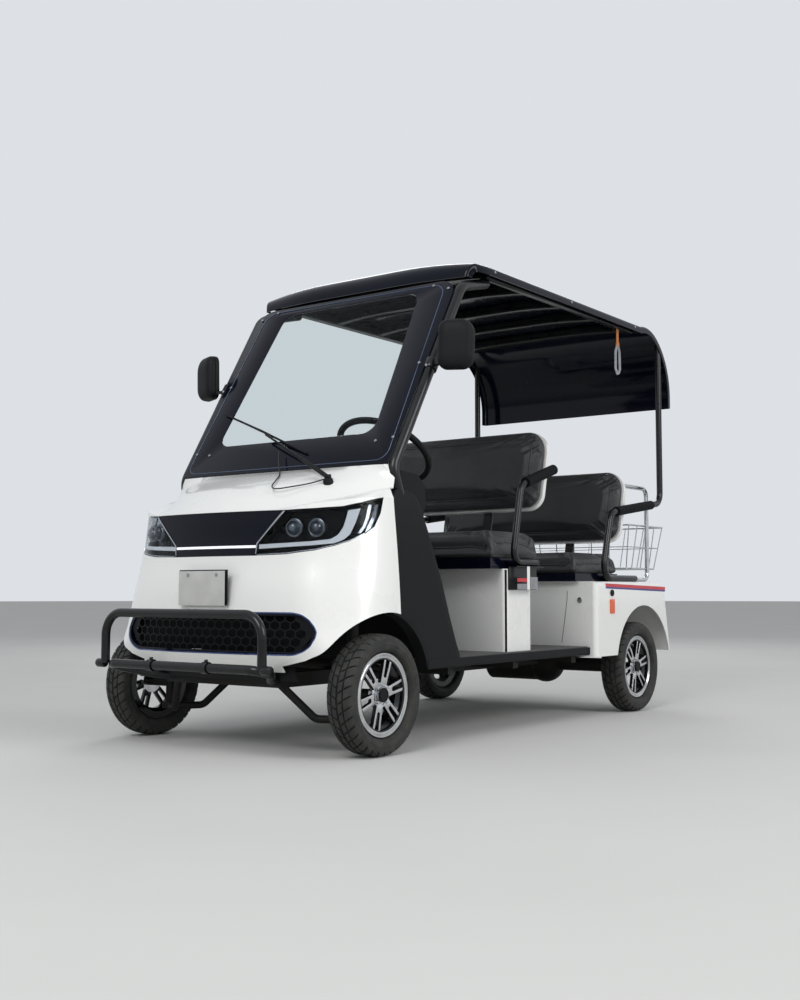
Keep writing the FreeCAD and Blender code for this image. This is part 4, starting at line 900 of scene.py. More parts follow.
# Share of a pitch and whether the slanting groove is open there
TREAD_STEPS = ((0.0, 0), (0.03, 1), (0.16, 1), (0.19, 0), (0.38, 0), (0.6, 0), (0.8, 0))
TREAD = (
    # across, radius, groove depth
    (-50.6, 195.4, 3.0), (-47.5, 199.6, 6.0), (-42, 203.2, 7.0), (-34, 205.9, 7.0), (-27, 206.8, 7.0),
    (-26, 201.0, 1.2), (-22, 201.0, 1.2), (-21, 207.2, 7.0), (-12, 207.8, 7.0), (-4, 208.0, 7.0), (-3, 201.0, 1.0),
    (3, 201.0, 1.0), (4, 208.0, 7.0), (12, 207.8, 7.0), (21, 207.2, 7.0), (22, 201.0, 1.2), (26, 201.0, 1.2),
    (27, 206.8, 7.0), (34, 205.9, 7.0), (42, 203.2, 7.0), (47.5, 199.6, 6.0), (50.6, 195.4, 3.0),
)
SIDEWALL = ((52.4, 189), (53.3, 181), (53.4, 176), (54.0, 174.5), (54.0, 171.5), (53.3, 170), (52.8, 163),
            (50.5, 157.5), (48.6, 156.4), (48.4, 154.6), (44, 151.6), (37, 149.4), (32, 148.4), (32, 127.2))
INSIDE = ((22, 127.2), (23, 148), (45, 172), (41, 191), (0, 196), (-41, 191), (-45, 172), (-23, 148), (-22, 127.2))


def make_tyre(name, body):
    """Directional tyre: blocks between slanting grooves that meet in a zigzag, ribbed sidewalls."""
    low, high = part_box(name)
    centre = (low + high) / 2
    sizes = bpy.context.scene.cart_sizes
    pitches, share_deep = sizes.pitches, sizes.groove
    section = list(TREAD) + [(x, r, 0) for x, r in SIDEWALL + INSIDE] + [(-x, r, 0) for x, r in SIDEWALL[::-1]]
    rows = []
    for pitch in range(pitches):
        for share, open_here in TREAD_STEPS:
            points = []
            for x, radius, groove in section:
                offset = (0.5 if x > 0 else 0.0) if groove else 0.25
                lag = SLANT * min(abs(x), 51) / 208 if groove else SLANT * 51 / 208
                angle = 2 * math.pi * (pitch + share + offset) / pitches - lag
                points.append(centre + turned(x, radius - open_here * groove * share_deep, angle))
            rows.append(points + points[:1])
    rows.append(rows[0])
    done(smoothed(skinned(f"{name}_tread", rows, closed=True), 28), "tyre_rubber", body, stands_for=(name,))


BARREL = ((-36, 144), (-34.5, 145.2), (-32, 144), (-32, 126), (-18, 126), (-9, 110), (9, 110), (18, 126),
          (32, 126), (32, 144), (34.5, 145.2), (36, 144), (36, 121), (33, 119), (20, 119), (10, 105), (-10, 105),
          (-20, 119), (-36, 119))
LIP = ((34, 143.6), (36.4, 143.6), (37.6, 142.4), (37.6, 137.6), (36.2, 136.4), (36.2, 134.4), (37.2, 133),
       (37.2, 126), (35.6, 124.4), (34, 124.4))
SPOKE = ((30, -17), (60, -18), (96, -20), (123, -22), (123, 22), (96, 20), (60, 18), (30, 17))
SLOT = ((60, -4), (64, -7), (96, -8.6), (124, -10), (124, 10), (96, 8.6), (64, 7), (60, 4))
HUB = ((8, 18.4), (8, 46), (24, 46), (29, 43), (30, 38), (28, 34), (28, 28), (36, 27), (36, 18.4))
CAP = ((24, 0), (24, 24.4), (41, 24.4), (43.4, 22.4), (43.4, 19.4), (42.2, 18.4), (42.2, 0))


def on_wheel(centre, sign, out, radius, angle, sideways=0):
    """Place on a wheel: out along the axle, at a radius and angle, in millimetres."""
    c, s = math.cos(angle), math.sin(angle)
    return centre + Vector((sign * out, radius * c - sideways * s, radius * s + sideways * c)) * MM


def make_spoke(name, centre, sign, angle, outline, slot, out, depth, ease):
    """One forked spoke: a slab with an open slot, its edges rounded."""
    spoke = slab(name, [on_wheel(centre, sign, out + 0.035 * r, r, angle, w) for r, w in outline],
                 Vector((-sign * depth * MM, 0, 0)))
    cut(spoke, slab("slot_tool", [on_wheel(centre, sign, 60, r, angle, w) for r, w in slot],
                    Vector((-sign * 0.06, 0, 0))))
    return eased(spoke, ease, 2)


def make_rim(name, body, sign):
    """Cast wheel: dark barrel, turned lip, six forked spokes with machined faces, nuts and a cap."""
    low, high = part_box(name)
    centre = (low + high) / 2
    centre.x = sign * 0.551
    barrel = smoothed(spun(f"{name}_barrel", [(sign * x, r) for x, r in BARREL], 96, centre), 30)
    done(barrel, "pocket_paint", body, (name,))
    bright = [spun("lip", [(sign * x, r) for x, r in LIP], 96, centre),
              spun("hub", [(sign * x, r) for x, r in HUB], 48, centre)]
    dark = []
    wide = [(r, w * 1.12) for r, w in SLOT]
    for index in range(6):
        angle = math.radians(60 * index + 14)
        dark.append(make_spoke("spoke", centre, sign, angle, SPOKE, SLOT, 28, 14, 1.0))
        bright.append(make_spoke("spoke_face", centre, sign, angle, drawn_in(SPOKE, 0.9), wide, 29.4, 1.8, 0.5))
    for index in range(4):
        nut = on_wheel(centre, sign, 27, 34.5, math.radians(90 * index + 45))
        bright.append(rod("nut", nut, nut + Vector((sign * 0.010, 0, 0)), 6.5, 6, 0.8))
    done(smoothed(joined(f"{name}_faces", bright), 30), "machined_alloy", body)
    done(smoothed(joined(f"{name}_spokes", dark), 30), "pocket_paint", body)
    done(smoothed(spun(f"{name}_cap", [(sign * x, r) for x, r in CAP], 48, centre), 30), "black_plastic", body)


def make_wheels():
    """Tyres and rims at the four corners."""
    for end in ("front", "rear"):
        for side, sign in (("left", 1), ("right", -1)):
            body = f"wheel_{end}_{side}"
            make_tyre(f"tyre_{end}_{side}", body)
            make_rim(f"rim_{end}_{side}", body, sign)


# Seats


def stuffed(piece, held, voxel, cap, pressure=4.0, frames=20):
    """Fills a closed cover under pressure; where held it stays, elsewhere it moves by at most the cap."""
    choose(piece)
    piece.data.remesh_voxel_size = voxel * MM
    bpy.ops.object.voxel_remesh()
    start = [vertex.co.copy() for vertex in piece.data.vertices]
    group = piece.vertex_groups.new(name="held")
    group.add([index for index, place in enumerate(start) if held(place)], 1.0, "REPLACE")
    cloth = piece.modifiers.new("cover", "CLOTH")
    settings = cloth.settings
    settings.use_pressure = True
    settings.uniform_pressure_force = pressure
    settings.quality = 4
    settings.tension_stiffness = settings.compression_stiffness = 15
    settings.effector_weights.gravity = 0
    settings.vertex_group_mass = "held"
    cloth.point_cache.frame_start, cloth.point_cache.frame_end = 1, frames
    for step in range(1, frames + 1):
        bpy.context.scene.frame_set(step)
    bpy.ops.object.modifier_apply(modifier=cloth.name)
    bpy.context.scene.frame_set(1)
    piece.vertex_groups.clear()
    for vertex, place in zip(piece.data.vertices, start):
        move = vertex.co - place
        if move.length > cap * MM:
            vertex.co = place + move * (cap * MM / move.length)
    return piece


def rounded_outline(half, foot, top, low_radius, top_radius, steps=8):
    """Rounded rectangle of (across, up) millimetres, anticlockwise from the foot's right."""
    corners = ((half - low_radius, foot + low_radius, low_radius, -90),
               (half - top_radius, top - top_radius, top_radius, 0),
               (top_radius - half, top - top_radius, top_radius, 90),
               (low_radius - half, foot + low_radius, low_radius, 180))
    points = []
    for x, z, radius, first in corners:
        for k in range(steps + 1):
            a = math.radians(first + 90 * k / steps)
            points.append((x + radius * math.cos(a), z + radius * math.sin(a)))
    return points


def spaced(points, gap):
    """Closed line walked in even steps of about a gap."""
    loop = list(points) + [points[0]]
    total = sum(math.dist(loop[k], loop[k + 1]) for k in range(len(loop) - 1))
    count = max(8, round(total / gap))
    return [along_line(loop, k / count) for k in range(count)]


def laid_on(piece, start, way):
    """Where a ray meets a cover, or its start if it misses."""
    hit, place, *_ = piece.ray_cast(start, way)
    return place if hit else start


def welt(name, points, radius=None):
    """Piping along a closed line of places."""
    radius = radius or bpy.context.scene.cart_sizes.welt / MM
    piece = tube(name, points + points[:2], 0, radius, 12, plain=True)
    return smoothed(piece, 60)


def make_cushion(name, voxel):
    """Bench cushion: a stuffed cover, crowned on top, with a welt round its top panel."""
    low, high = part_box(name)
    pad = block(f"{name}_pad", low + Vector((0.006, 0.006, 0.001)), high - Vector((0.006, 0.006, 0.010)), 26, 5)
    swell = bpy.context.scene.cart_sizes.swell / MM
    stuffed(pad, lambda p: p.z < low.z + 0.016, voxel, swell)
    for vertex in pad.data.vertices:
        vertex.co.x = min(max(vertex.co.x, low.x), high.x)
        vertex.co.y = min(max(vertex.co.y, low.y - 0.004), high.y)
        vertex.co.z = min(max(vertex.co.z, low.z), high.z + 0.006)
    line = rounded_outline((high.x - low.x) / 2 / MM - 26, low.y / MM + 26, high.y / MM - 26, 34, 34)
    down = Vector((0, 0, -1))
    places = spaced(line, 12)
    crease = [Vector((x * MM, y * MM)) for x, y in places]

    def off_line(p):
        if p.z < high.z - 0.05:
            return None
        return min((Vector((p.x, p.y)) - q).length for q in crease)

    edge = [v for v in pad.data.vertices if v.co.z > high.z - 0.05 and (
        min(v.co.x - low.x, high.x - v.co.x) < 0.06 or min(v.co.y - low.y, high.y - v.co.y) < 0.06)]
    for vertex in edge:
        off = off_line(vertex.co)
        vertex.co.z -= 0.005 * math.exp(-(off / 0.006) ** 2)
    refined(pad, 1)
    done(smoothed(pad, 60), "black_leather", stands_for=(name,))
    points = [laid_on(pad, Vector((q.x, q.y, high.z + 0.05)), down) for q in crease]
    done(welt(f"{name}_piping", points), "black_leather")


BACKRESTS = (("front_backrest", 1170, 930, 340), ("rear_backrest", 1912, 815, 335))
LEAN = math.radians(13)
UPWARD = Vector((0, math.sin(LEAN), math.cos(LEAN)))
BACKWARD = Vector((0, math.cos(LEAN), -math.sin(LEAN)))


def make_backrest(name, foot_y, foot_z, height):
    """Leaning back pad: a stuffed cover with rounded corners and a welt round its front panel."""
    foot = at(0, foot_y, foot_z)

    def place(x, up, back):
        return foot + Vector((x * MM, 0, 0)) + UPWARD * (up * MM) + BACKWARD * (back * MM)

    outline = rounded_outline(503, -3, height + 3, 60, 95)
    pad = slab(f"{name}_pad", [place(x, up, 9) for x, up in outline], BACKWARD * 0.045)
    eased(pad, 15, 4)
    stuffed(pad, lambda p: (p - foot).dot(BACKWARD) > 0.036, 8, bpy.context.scene.cart_sizes.swell / MM)
    line = spaced(rounded_outline(460, 38, height - 38, 40, 66), 12)
    for vertex in pad.data.vertices:
        offset = vertex.co - foot
        depth = offset.dot(BACKWARD)
        if depth < 0.03:
            spot = (offset.x / MM, offset.dot(UPWARD) / MM)
            if abs(spot[0]) > 380 or spot[1] < 90 or spot[1] > height - 90:
                off = min(math.dist(spot, q) for q in line)
                vertex.co += BACKWARD * 0.005 * math.exp(-(off / 6) ** 2)
        if depth > 0.055:
            vertex.co -= BACKWARD * (depth - 0.055)
    refined(pad, 1)
    done(smoothed(pad, 60), "black_leather", stands_for=(name,))
    points = [laid_on(pad, place(x, up, -60), BACKWARD) for x, up in line]
    done(welt(f"{name}_piping", points), "black_leather")


def make_seats():
    """Both bench cushions and back pads."""
    make_cushion("front_cushion", 9)
    make_cushion("rear_cushion", 9)
    for row in BACKRESTS:
        make_backrest(*row)


# Windshield, posts and mirrors

RAKE = math.radians(31)
SHIELD_FOOT = (112, 1014)
SHIELD_LENGTH = 907
PLATE = ((-519, 2), (519, 2), (519, 893), (-519, 893))
OPENING = ((-398, 150), (398, 150), (352, 850), (-352, 850))
SEAL = ((-506, 20), (506, 20), (470, 876), (-470, 876))
POST_HALF = 526
POST_RADIUS = 21
SHIELD_OUT = Vector((0, -math.cos(RAKE), math.sin(RAKE)))


def rounded_corners(corners, radii, steps=8):
    """Outline with its corners rounded."""
    points = []
    for k, corner in enumerate(corners):
        p = Vector(corner)
        a = (Vector(corners[k - 1]) - p).normalized()
        b = (Vector(corners[(k + 1) % len(corners)]) - p).normalized()
        half = a.angle(b) / 2
        reach = radii[k] / math.tan(half)
        centre = p + (a + b).normalized() * (radii[k] / math.sin(half))
        first, last = p + a * reach - centre, p + b * reach - centre
        start = math.atan2(first.y, first.x)
        sweep = (math.atan2(last.y, last.x) - start + math.pi) % (2 * math.pi) - math.pi
        points += [(centre.x + radii[k] * math.cos(start + sweep * j / steps),
                    centre.y + radii[k] * math.sin(start + sweep * j / steps)) for j in range(steps + 1)]
    return points


def on_shield(x, up, out=0):
    """Place on the windshield's plane: across, up the slope, and out of it."""
    return at(x, SHIELD_FOOT[0] + up * math.sin(RAKE), SHIELD_FOOT[1] + up * math.cos(RAKE)) + SHIELD_OUT * out * MM


def shield_panel(name, outline, out, thick):
    """Flat panel lying in the windshield's slope."""
    return slab(name, [on_shield(x, up, out) for x, up in outline], SHIELD_OUT * thick * MM)


def make_windshield():
    """Smoked border plate with a clear middle, a raised seal line and its screws."""
    opening = rounded_corners(OPENING, (55, 55, 60, 60))
    plate = shield_panel("windshield_plate", rounded_corners(PLATE, (14, 14, 82, 82)), -4, 4)
    cut(plate, shield_panel("opening_tool", opening, -10, 20))
    done(smoothed(eased(plate, 1, 2)), "black_gloss", stands_for=("windshield_frame", "windshield_border"))
    done(shield_panel("windshield_pane", opening, -3.6, 3.2), "clear_glass", stands_for=("windshield_glass",))
    line = spaced(rounded_corners(SEAL, (45, 45, 66, 66)), 14)
    seal = welt("windshield_seal", [on_shield(x, up, 0.4) for x, up in line], 1.5)
    done(seal, "seal_line")
    screws = [rod("pane_screw", on_shield(sign * x, up, 0), on_shield(sign * x, up, 3), 6, 18, 1)
              for sign in (1, -1) for x, up in ((411, 874), (424, 110), (490, 846), (500, 120), (488, 470))]
    done(smoothed(joined("pane_screws", screws)), "screw_steel")


def post_place(up):
    """Middle of the front post at that height along the slope."""
    return on_shield(POST_HALF, up, -(POST_RADIUS + 4.3))


def make_posts():
    """Front posts: behind the plate's edge, down into the body and back under the roof."""
    route = [at(541, 345, 291), at(541, 190, 820), post_place(0), post_place(SHIELD_LENGTH - 34), at(500, 800, 1806)]
    post = smoothed(tube("front_post_tube", route, [60, 70, 90], POST_RADIUS, 28), 50)
    done(with_twin(post, "front_post_tubes"), "black_steel", stands_for=("front_posts",))


def make_mirrors():
    """Door mirrors: a crowned shell on a short arm and clamp, with silvered glass."""
    centre = at(641, 372, 1473)
    aside = Vector((math.cos(math.radians(20)), math.sin(math.radians(20)), 0))
    back = Vector((-aside.y, aside.x, 0))
    shape = rounded_corners(((-71, -92), (66, -96), (71, 92), (-64, 96)), (36, 44, 52, 36))
    shell = slab("mirror_shell", [centre + aside * x * MM + Vector((0, 0, z * MM)) + back * 0.021 for x, z in shape],
                 back * -0.020)
    applied(shell, "BEVEL", width=0.004, segments=2, limit_method="ANGLE", angle_limit=0.6)
    rows = []
    for k in range(13):
        a = math.pi / 2 * k / 12
        size, out = max(0.0, math.cos(a)) ** 0.42 * 0.995 if k < 12 else 0.0, 0.001 + 0.032 * math.sin(a)
        rows.append([centre + aside * x * size * MM + Vector((0, 0, z * size * MM)) - back * out
                     for x, z in shape + shape[:1]])
    hood = skinned("mirror_hood", rows, closed=True, capped=True)
    whole = smoothed(joined("mirror_shell", [shell, hood]), 40)
    glass = slab("mirror_glass", [centre + aside * x * MM + Vector((0, 0, z * MM)) + back * 0.0225
                                  for x, z in drawn_in(shape, 9)], back * -0.0015)
    low = post_place((1420 - 1014) / math.cos(RAKE))
    arm = tube("mirror_arm", [low, at(606, 352, 1404), at(632, 360, 1436)], 14, 7)
    way = (post_place(100) - post_place(0)).normalized()
    clamp = rod("mirror_clamp", low - way * 0.022, low + way * 0.022, POST_RADIUS + 6, 36, 3)
    bolt = rod("clamp_bolt", low + Vector((0, -0.034, -0.004)), low + Vector((0, -0.020, -0.004)), 6, 6, 1)
    done(with_twin(whole, "mirror_shells"), "black_plastic", stands_for=("mirrors",))
    done(with_twin(glass, "mirror_glasses"), "mirror_glass")
    done(with_twin(smoothed(joined("mirror_arm", [arm, clamp]), 40), "mirror_arms"), "black_steel")
    done(with_twin(bolt, "clamp_bolts"), "screw_steel")


def make_wiper():
    """Wiper: pivot on the bonnet, jointed arm and a blade lying on the plate."""
    pivot, knee = at(345, -6, 966), on_shield(-130, 173, 22)
    first, last = on_shield(-432, 314, 7), on_shield(114, 73, 7)
    base = rod("wiper_pivot", at(346, -3, 930), at(345, -8, 962), 21, 28, 3, tip=17)
    cap = rod("wiper_cap", at(345, -7, 960), at(344.5, -9, 976), 13, 20, 3)
    arm = tube("wiper_arm", [pivot, pivot + (knee - pivot) * 0.42 + SHIELD_OUT * 0.006], 0, 8.5)
    thin = tube("wiper_rod", [pivot + (knee - pivot) * 0.38 + SHIELD_OUT * 0.006, knee], 0, 4.2)
    spine = tube("wiper_spine", [first, (first + last) / 2 + SHIELD_OUT * 0.013, last], 300, 4.4)
    blade = last - first
    claws = [tube("wiper_claw", [first + blade * a, first + blade * (a + 0.05) + SHIELD_OUT * 0.008], 0, 2.4)
             for a in (0.16, 0.36, 0.6, 0.8)]
    whole = joined("wiper_set", [base, cap, arm, thin, spine] + claws)
    done(smoothed(whole, 40), "black_plastic", stands_for=("wiper",))
    rubber = slab("wiper_rubber", [first - SHIELD_OUT * 0.002, last - SHIELD_OUT * 0.002,
                                   last - SHIELD_OUT * 0.0066, first - SHIELD_OUT * 0.0066], Vector((0, 0, 0.0016)))
    done(rubber, "hose_rubber")


PANEL_ROWS = (
    # height, foremost and rearmost depth
    (284, 240, 510), (322, 195, 507), (362, 143, 487), (400, 93.5, 469), (470, 93.5, 439), (545, 93.5, 409),
    (620, 93.5, 378), (700, 93.5, 339), (780, 93.5, 300), (860, 93.5, 262), (886, 94, 249), (903, 108, 238),
    (915, 118, 214), (922, 126, 185),
)


def make_side_panels():
    """Black leg panels that carry on the body's side behind the white shell's seam."""
    rows = []
    for height, front, rear in PANEL_ROWS:
        half = min(nose_row(max(height, 300))[2] - 1, 565 - 0.16 * max(0, height - 840))
        across = [front + (rear - front) * k / 12 for k in range(13)]
        outer = [at(half, y, height) for y in across]
        inner = [at(518, y, height) for y in reversed(across)]
        rows.append(outer + inner + outer[:1])
    panel = skinned("side_panel", rows, closed=True, capped=True)
    cut(panel, rod("arch_tool", at(330, 30, 212), at(720, 30, 212), 276, 96))
    cut(panel, block("floor_tool", at(-700, 440, 284), at(515, 1800, 330)))
    done(with_twin(smoothed(eased(panel, 6, 3, 50), 40), "leg_panels"), "black_plastic", stands_for=("side_panels",))


# Roof

ROOF_TOP = 1878
ROOF_HALF = 560
ROOF_FRONT = 576
NOSE_BEND = 84
CROWN = 22
REAR_BEND = 330
ROOF_REAR = 2467
ROOF_FOOT = 1488


def roof_line():
    """Side view of the roof as (depth, height, inward y, inward z, share of crown)."""
    places = [(ROOF_FRONT, ROOF_TOP - NOSE_BEND, 1, 0, 1)]
    for k in range(1, 11):
        a = math.pi / 2 * k / 10
        c, s = math.cos(a), math.sin(a)
        places.append((ROOF_FRONT + NOSE_BEND * (1 - c), ROOF_TOP - NOSE_BEND * (1 - s), c, -s, 1))
    for k in range(1, 17):
        y = ROOF_FRONT + NOSE_BEND + (ROOF_REAR - REAR_BEND - ROOF_FRONT - NOSE_BEND) * k / 17
        places.append((y, ROOF_TOP, 0, -1, 1))
    for k in range(21):
        a = math.pi / 2 * k / 20
        c, s = math.cos(a), math.sin(a)
        share = max(0, 1 - k / 7) ** 2
        places.append((ROOF_REAR - REAR_BEND * (1 - s), ROOF_TOP - REAR_BEND * (1 - c), -s, -c, share))
    for k in range(1, 5):
        z = ROOF_TOP - REAR_BEND - (ROOF_TOP - REAR_BEND - ROOF_FOOT) * k / 4
        places.append((ROOF_REAR, z, -1, 0, 0))
    return places


def crown_drop(x):
    """How far the roof's crown has fallen at that distance from the middle."""
    return CROWN * (max(0, abs(x) - 200) / (ROOF_HALF - 210)) ** 2


def roof_section():
    """Half cross-section from the middle to the lip: (across, depth that crowns, plain depth)."""
    points = [(x, crown_drop(x), 0) for x in (0, 60, 120, 200, 260, 320, 380, 430, 470, 510, 536)]
    points += [(ROOF_HALF - 14 + 14 * math.sin(a), crown_drop(ROOF_HALF - 14), 14 * (1 - math.cos(a)))
               for a in (math.pi / 2 * k / 5 for k in range(6))]
    return points + [(ROOF_HALF, CROWN, 24), (ROOF_HALF, CROWN, 34)]


def make_roof():
    """Roof: one crowned sheet with turned edges that curves down behind, on cross ribs."""
    rows = []
    for y, z, in_y, in_z, share in roof_line():
        near = min(1, max(0, (730 - y) / 154)) ** 2
        crowned = share * (1 + 0.7 * near)
        half = [Vector((x * (1 - 0.045 * near), y + in_y * fall, z + in_z * fall))
                for x, fall in ((x, crown * crowned + plain) for x, crown, plain in roof_section())]
        rows.append([at(-p.x, p.y, p.z) for p in half[:0:-1]] + [at(*p) for p in half])
    sheet = skinned("roof_sheet", rows)
    if sheet.data.polygons[len(sheet.data.polygons) // 3].normal.z < 0:
        sheet.data.flip_normals()
    applied(sheet, "SOLIDIFY", thickness=4 * MM, offset=-1)
    done(smoothed(sheet, 40), "black_gloss", stands_for=("roof_shell",))
    bars = []
    for y in (760, 1080, 1400, 1720, 2040):
        rib = []
        for k in range(25):
            x = -530 + 1060 * k / 24
            top, low = ROOF_TOP - 4.5 - crown_drop(x), ROOF_TOP - 42 - crown_drop(x)
            ring_points = [at(x, y, low), at(x, y + 40, low), at(x, y + 40, top), at(x, y, top)]
            rib.append(ring_points + ring_points[:1])
        bars.append(skinned("roof_rib", rib, closed=True, capped=True))
    for sign in (1, -1):
        left, right = sorted((505 * sign, 535 * sign))
        bars.append(block("roof_rail", at(left, 760, 1816), at(right, 2080, 1852)))
    done(smoothed(eased(joined("roof_ribs", bars), 2, 2)), "black_steel", stands_for=("roof_frame",))
    bolts = [rod("roof_bolt", at(sign * (ROOF_HALF - 0.5), y, 1840), at(sign * (ROOF_HALF + 2.5), y, 1840), 6, 18, 1)
             for sign in (1, -1) for y in (780, 1420, 2060)]
    done(smoothed(joined("roof_bolts", bolts)), "screw_steel")


# Stripes, lamps and small fittings


def make_side_trim():
    """Red and blue side stripe, orange reflector, round lamp and lock on the rear body."""
    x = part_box("rear_body")[1].x / MM
    for name, finish, low, high in (("red_stripe", "red_film", 8, 23), ("blue_stripe", "blue_film", 0, 8)):
        outline = [(1643, 572 + low), (2273, 557 + low), (2276, 557 + high), (1640, 572 + high)]
        strip = slab(name, [at(x, y, z) for y, z in outline], Vector((0.0006, 0, 0)))
        done(with_twin(strip, f"{name}s"), finish)
    outline = [at(x, y, z) for y, z in ((1680, 459), (1721, 459), (1721, 524), (1680, 524))]
    reflector = eased(slab("side_reflector", outline, Vector((0.006, 0, 0))), 2.5, 3)
    done(with_twin(reflector, "side_reflectors"), "amber_lens")
    lamp = rod("side_lamp", at(x, 1700, 552), at(x + 7, 1700, 552), 15, 36, 2.5)
    done(with_twin(lamp, "side_lamps"), "black_plastic")
    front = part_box("rear_body")[0].y / MM - AXLE_Y / MM
    lock = rod("seat_lock", at(516, front + 1, 520), at(516, front - 4, 520), 13, 36, 1.6)
    # The key slot is a thin black sheet on the lock face: painted shade of its recess
    slot = block("lock_slot", at(509, front - 4.6, 518.6), at(523, front - 3.8, 521.4))
    done(with_twin(smoothed(lock), "seat_locks"), "bright_steel")
    done(with_twin(slot, "lock_slots"), "shadow_gap")
    line = [(452, 560), (450, 520), (436, 425), (422, 330)]
    seam = skinned("front_seam", [[at(px + wide, front - 0.4, pz) for px, pz in line] for wide in (0, 2.4)])
    applied(seam, "SOLIDIFY", thickness=0.5 * MM, offset=0)
    done(with_twin(seam, "front_seams"), "shadow_gap")


def make_bumper_ends():
    """Capped ends of the lower bumper tube beyond the hoop, and the saddle clamps that carry it."""
    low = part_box("bumper_bar")[0]
    y, r = low.y / MM - AXLE_Y / MM + 16, 16
    ends = rod("bumper_end", at(384, y, 302), at(424, y, 302), r, 32, 4)
    done(with_twin(smoothed(ends), "bumper_ends"), "black_steel")
    clamps = []
    for x in (128, -142):
        clamps.append(spun("saddle", [(-13, 16.3), (-13, 20.5), (13, 20.5), (13, 16.3)], 40, at(x, y, 302)))
        clamps.append(rod("saddle_bolt", at(x, y, 322), at(x, y, 330), 7, 6, 1))
    done(smoothed(joined("saddle_clamps", clamps)), "black_steel")


def make_valance():
    """Black lower valance under the white nose."""
    rows = []
    for z, back in ((300, 14), (286, 14), (268, 22), (252, 36)):
        points = [at(x, nose_y(x, 300, 4) + back, z) for x in range(-360, 361, 20)]
        rows.append(points)
    panel = skinned("lower_valance", rows)
    if panel.data.polygons[20].normal.y > 0:
        panel.data.flip_normals()
    applied(panel, "SOLIDIFY", thickness=4 * MM, offset=-1)
    done(smoothed(panel, 50), "black_plastic")


def make_box_films():
    """Red and grey films on the arm bracket's outer face, over a bright latch edge."""
    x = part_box("arm_brackets")[1].x / MM
    for name, finish, first, last, high, low in (("box_red", "red_film", 916, 992, 613, 598),
                                                 ("box_grey", "grey_film", 916, 992, 590, 567),
                                                 ("box_gap", "white_body", 994, 1016, 661, 566),
                                                 ("box_panel", "grey_film", 1020, 1078, 618, 567)):
        outline = ((first, low), (last, low), (last, high), (first, high))
        film = slab(name, [at(x, y, z) for y, z in outline], Vector((0.0006, 0, 0)))
        done(with_twin(film, f"{name}s"), finish)


def make_hand_loop():
    """Hanging hand loop: orange webbing, a clear sleeve and its ring."""
    top = at(519.5, 1950, 1834)
    strap = block("loop_strap", top + Vector((-0.0015, -0.011, -0.096)), top + Vector((0.0015, 0.011, 0)), 1, 2)
    done(strap, "strap_fabric", stands_for=("grab_handle",))
    sleeve = [top + Vector((0, 0, -0.086)), top + Vector((0, -0.020, -0.128)), top + Vector((0, -0.022, -0.212)),
              top + Vector((0, 0, -0.244)), top + Vector((0, 0.022, -0.212)), top + Vector((0, 0.020, -0.128)),
              top + Vector((0, 0.001, -0.086))]
    done(smoothed(tube("loop_sleeve", sleeve, 12, 5.5), 60), "clear_vinyl")
    knot = rod("loop_bead", top + Vector((0, 0, -0.104)), top + Vector((0, 0, -0.084)), 9, 24, 3)
    done(smoothed(knot), "strap_fabric")


# Carried-over solids


def dress_nodes():
    """Every shown solid gets the finish of its slot."""
    for name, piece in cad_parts.items():
        old = piece.data.materials[0].name.split(".")[0] if piece.data.materials else ""
        finish = finishes.get(old)
        if not finish:
            raise RuntimeError(f"no finish for {name} ({old})")
        for index in range(len(piece.data.materials)):
            piece.data.materials[index] = finish


def make_hose():
    """Washer hose from the windshield's foot to the wiper: one smooth line."""
    route = ((-14, 132, 1096), (2, 112, 1062), (30, 84, 1022), (66, 48, 1001), (106, 0, 982), (142, -62, 958),
             (168, -112, 934), (206, -134, 921), (250, -100, 930), (292, -62, 940), (322, -38, 950), (338, -22, 958))
    curve = bpy.data.curves.new("washer_hose_line", "CURVE")
    curve.dimensions = "3D"
    curve.bevel_depth = 2.5 * MM
    curve.bevel_resolution = 4
    curve.resolution_u = 8
    curve.use_fill_caps = True
    spline = curve.splines.new("NURBS")
    spline.points.add(len(route) - 1)
    for target, place in zip(spline.points, route):
        target.co = (*at(*place), 1)
    spline.order_u = 3
    spline.use_endpoint_u = True
    piece = bpy.data.objects.new("washer_hose_line", curve)
    bpy.context.collection.objects.link(piece)
    done(piece, "hose_rubber", stands_for=("washer_hose",))


# Settings


class CartColours(bpy.types.PropertyGroup):
    """Colours that a user would change."""
    body: bpy.props.FloatVectorProperty(
        name="Body", description="Colour of the moulded body", subtype="COLOR", size=4, min=0, max=1,
        default=linear("#EFEFEC"))
    # The gloss default is black with a painted blue reflection of the sky mixed into it
    gloss: bpy.props.FloatVectorProperty(
        name="Roof and band", description="Colour of the gloss black sheets", subtype="COLOR", size=4, min=0,
        max=1, default=linear("#070A16"))
    cover: bpy.props.FloatVectorProperty(
        name="Seat cover", description="Colour of the seats' leathercloth", subtype="COLOR", size=4, min=0, max=1,
        default=linear("#131416"))


class CartSizes(bpy.types.PropertyGroup):
    """Small sizes of the dressing; the frame itself is fixed."""
    pitches: bpy.props.IntProperty(
        name="Tread pitches", description="Blocks round a tyre", default=36, min=20, max=60)
    groove: bpy.props.FloatProperty(
        name="Groove depth", description="Share of a new tyre's slanting groove", default=1.0, min=0.2, max=1.2)
    welt: bpy.props.FloatProperty(
        name="Welt", description="Radius of the seats' piping", default=0.0033, min=0.001, max=0.006,
        unit="LENGTH", subtype="DISTANCE")
    swell: bpy.props.FloatProperty(
        name="Cushion swell", description="Furthest that a cover may swell", default=0.022, min=0.005, max=0.03,
        unit="LENGTH", subtype="DISTANCE")


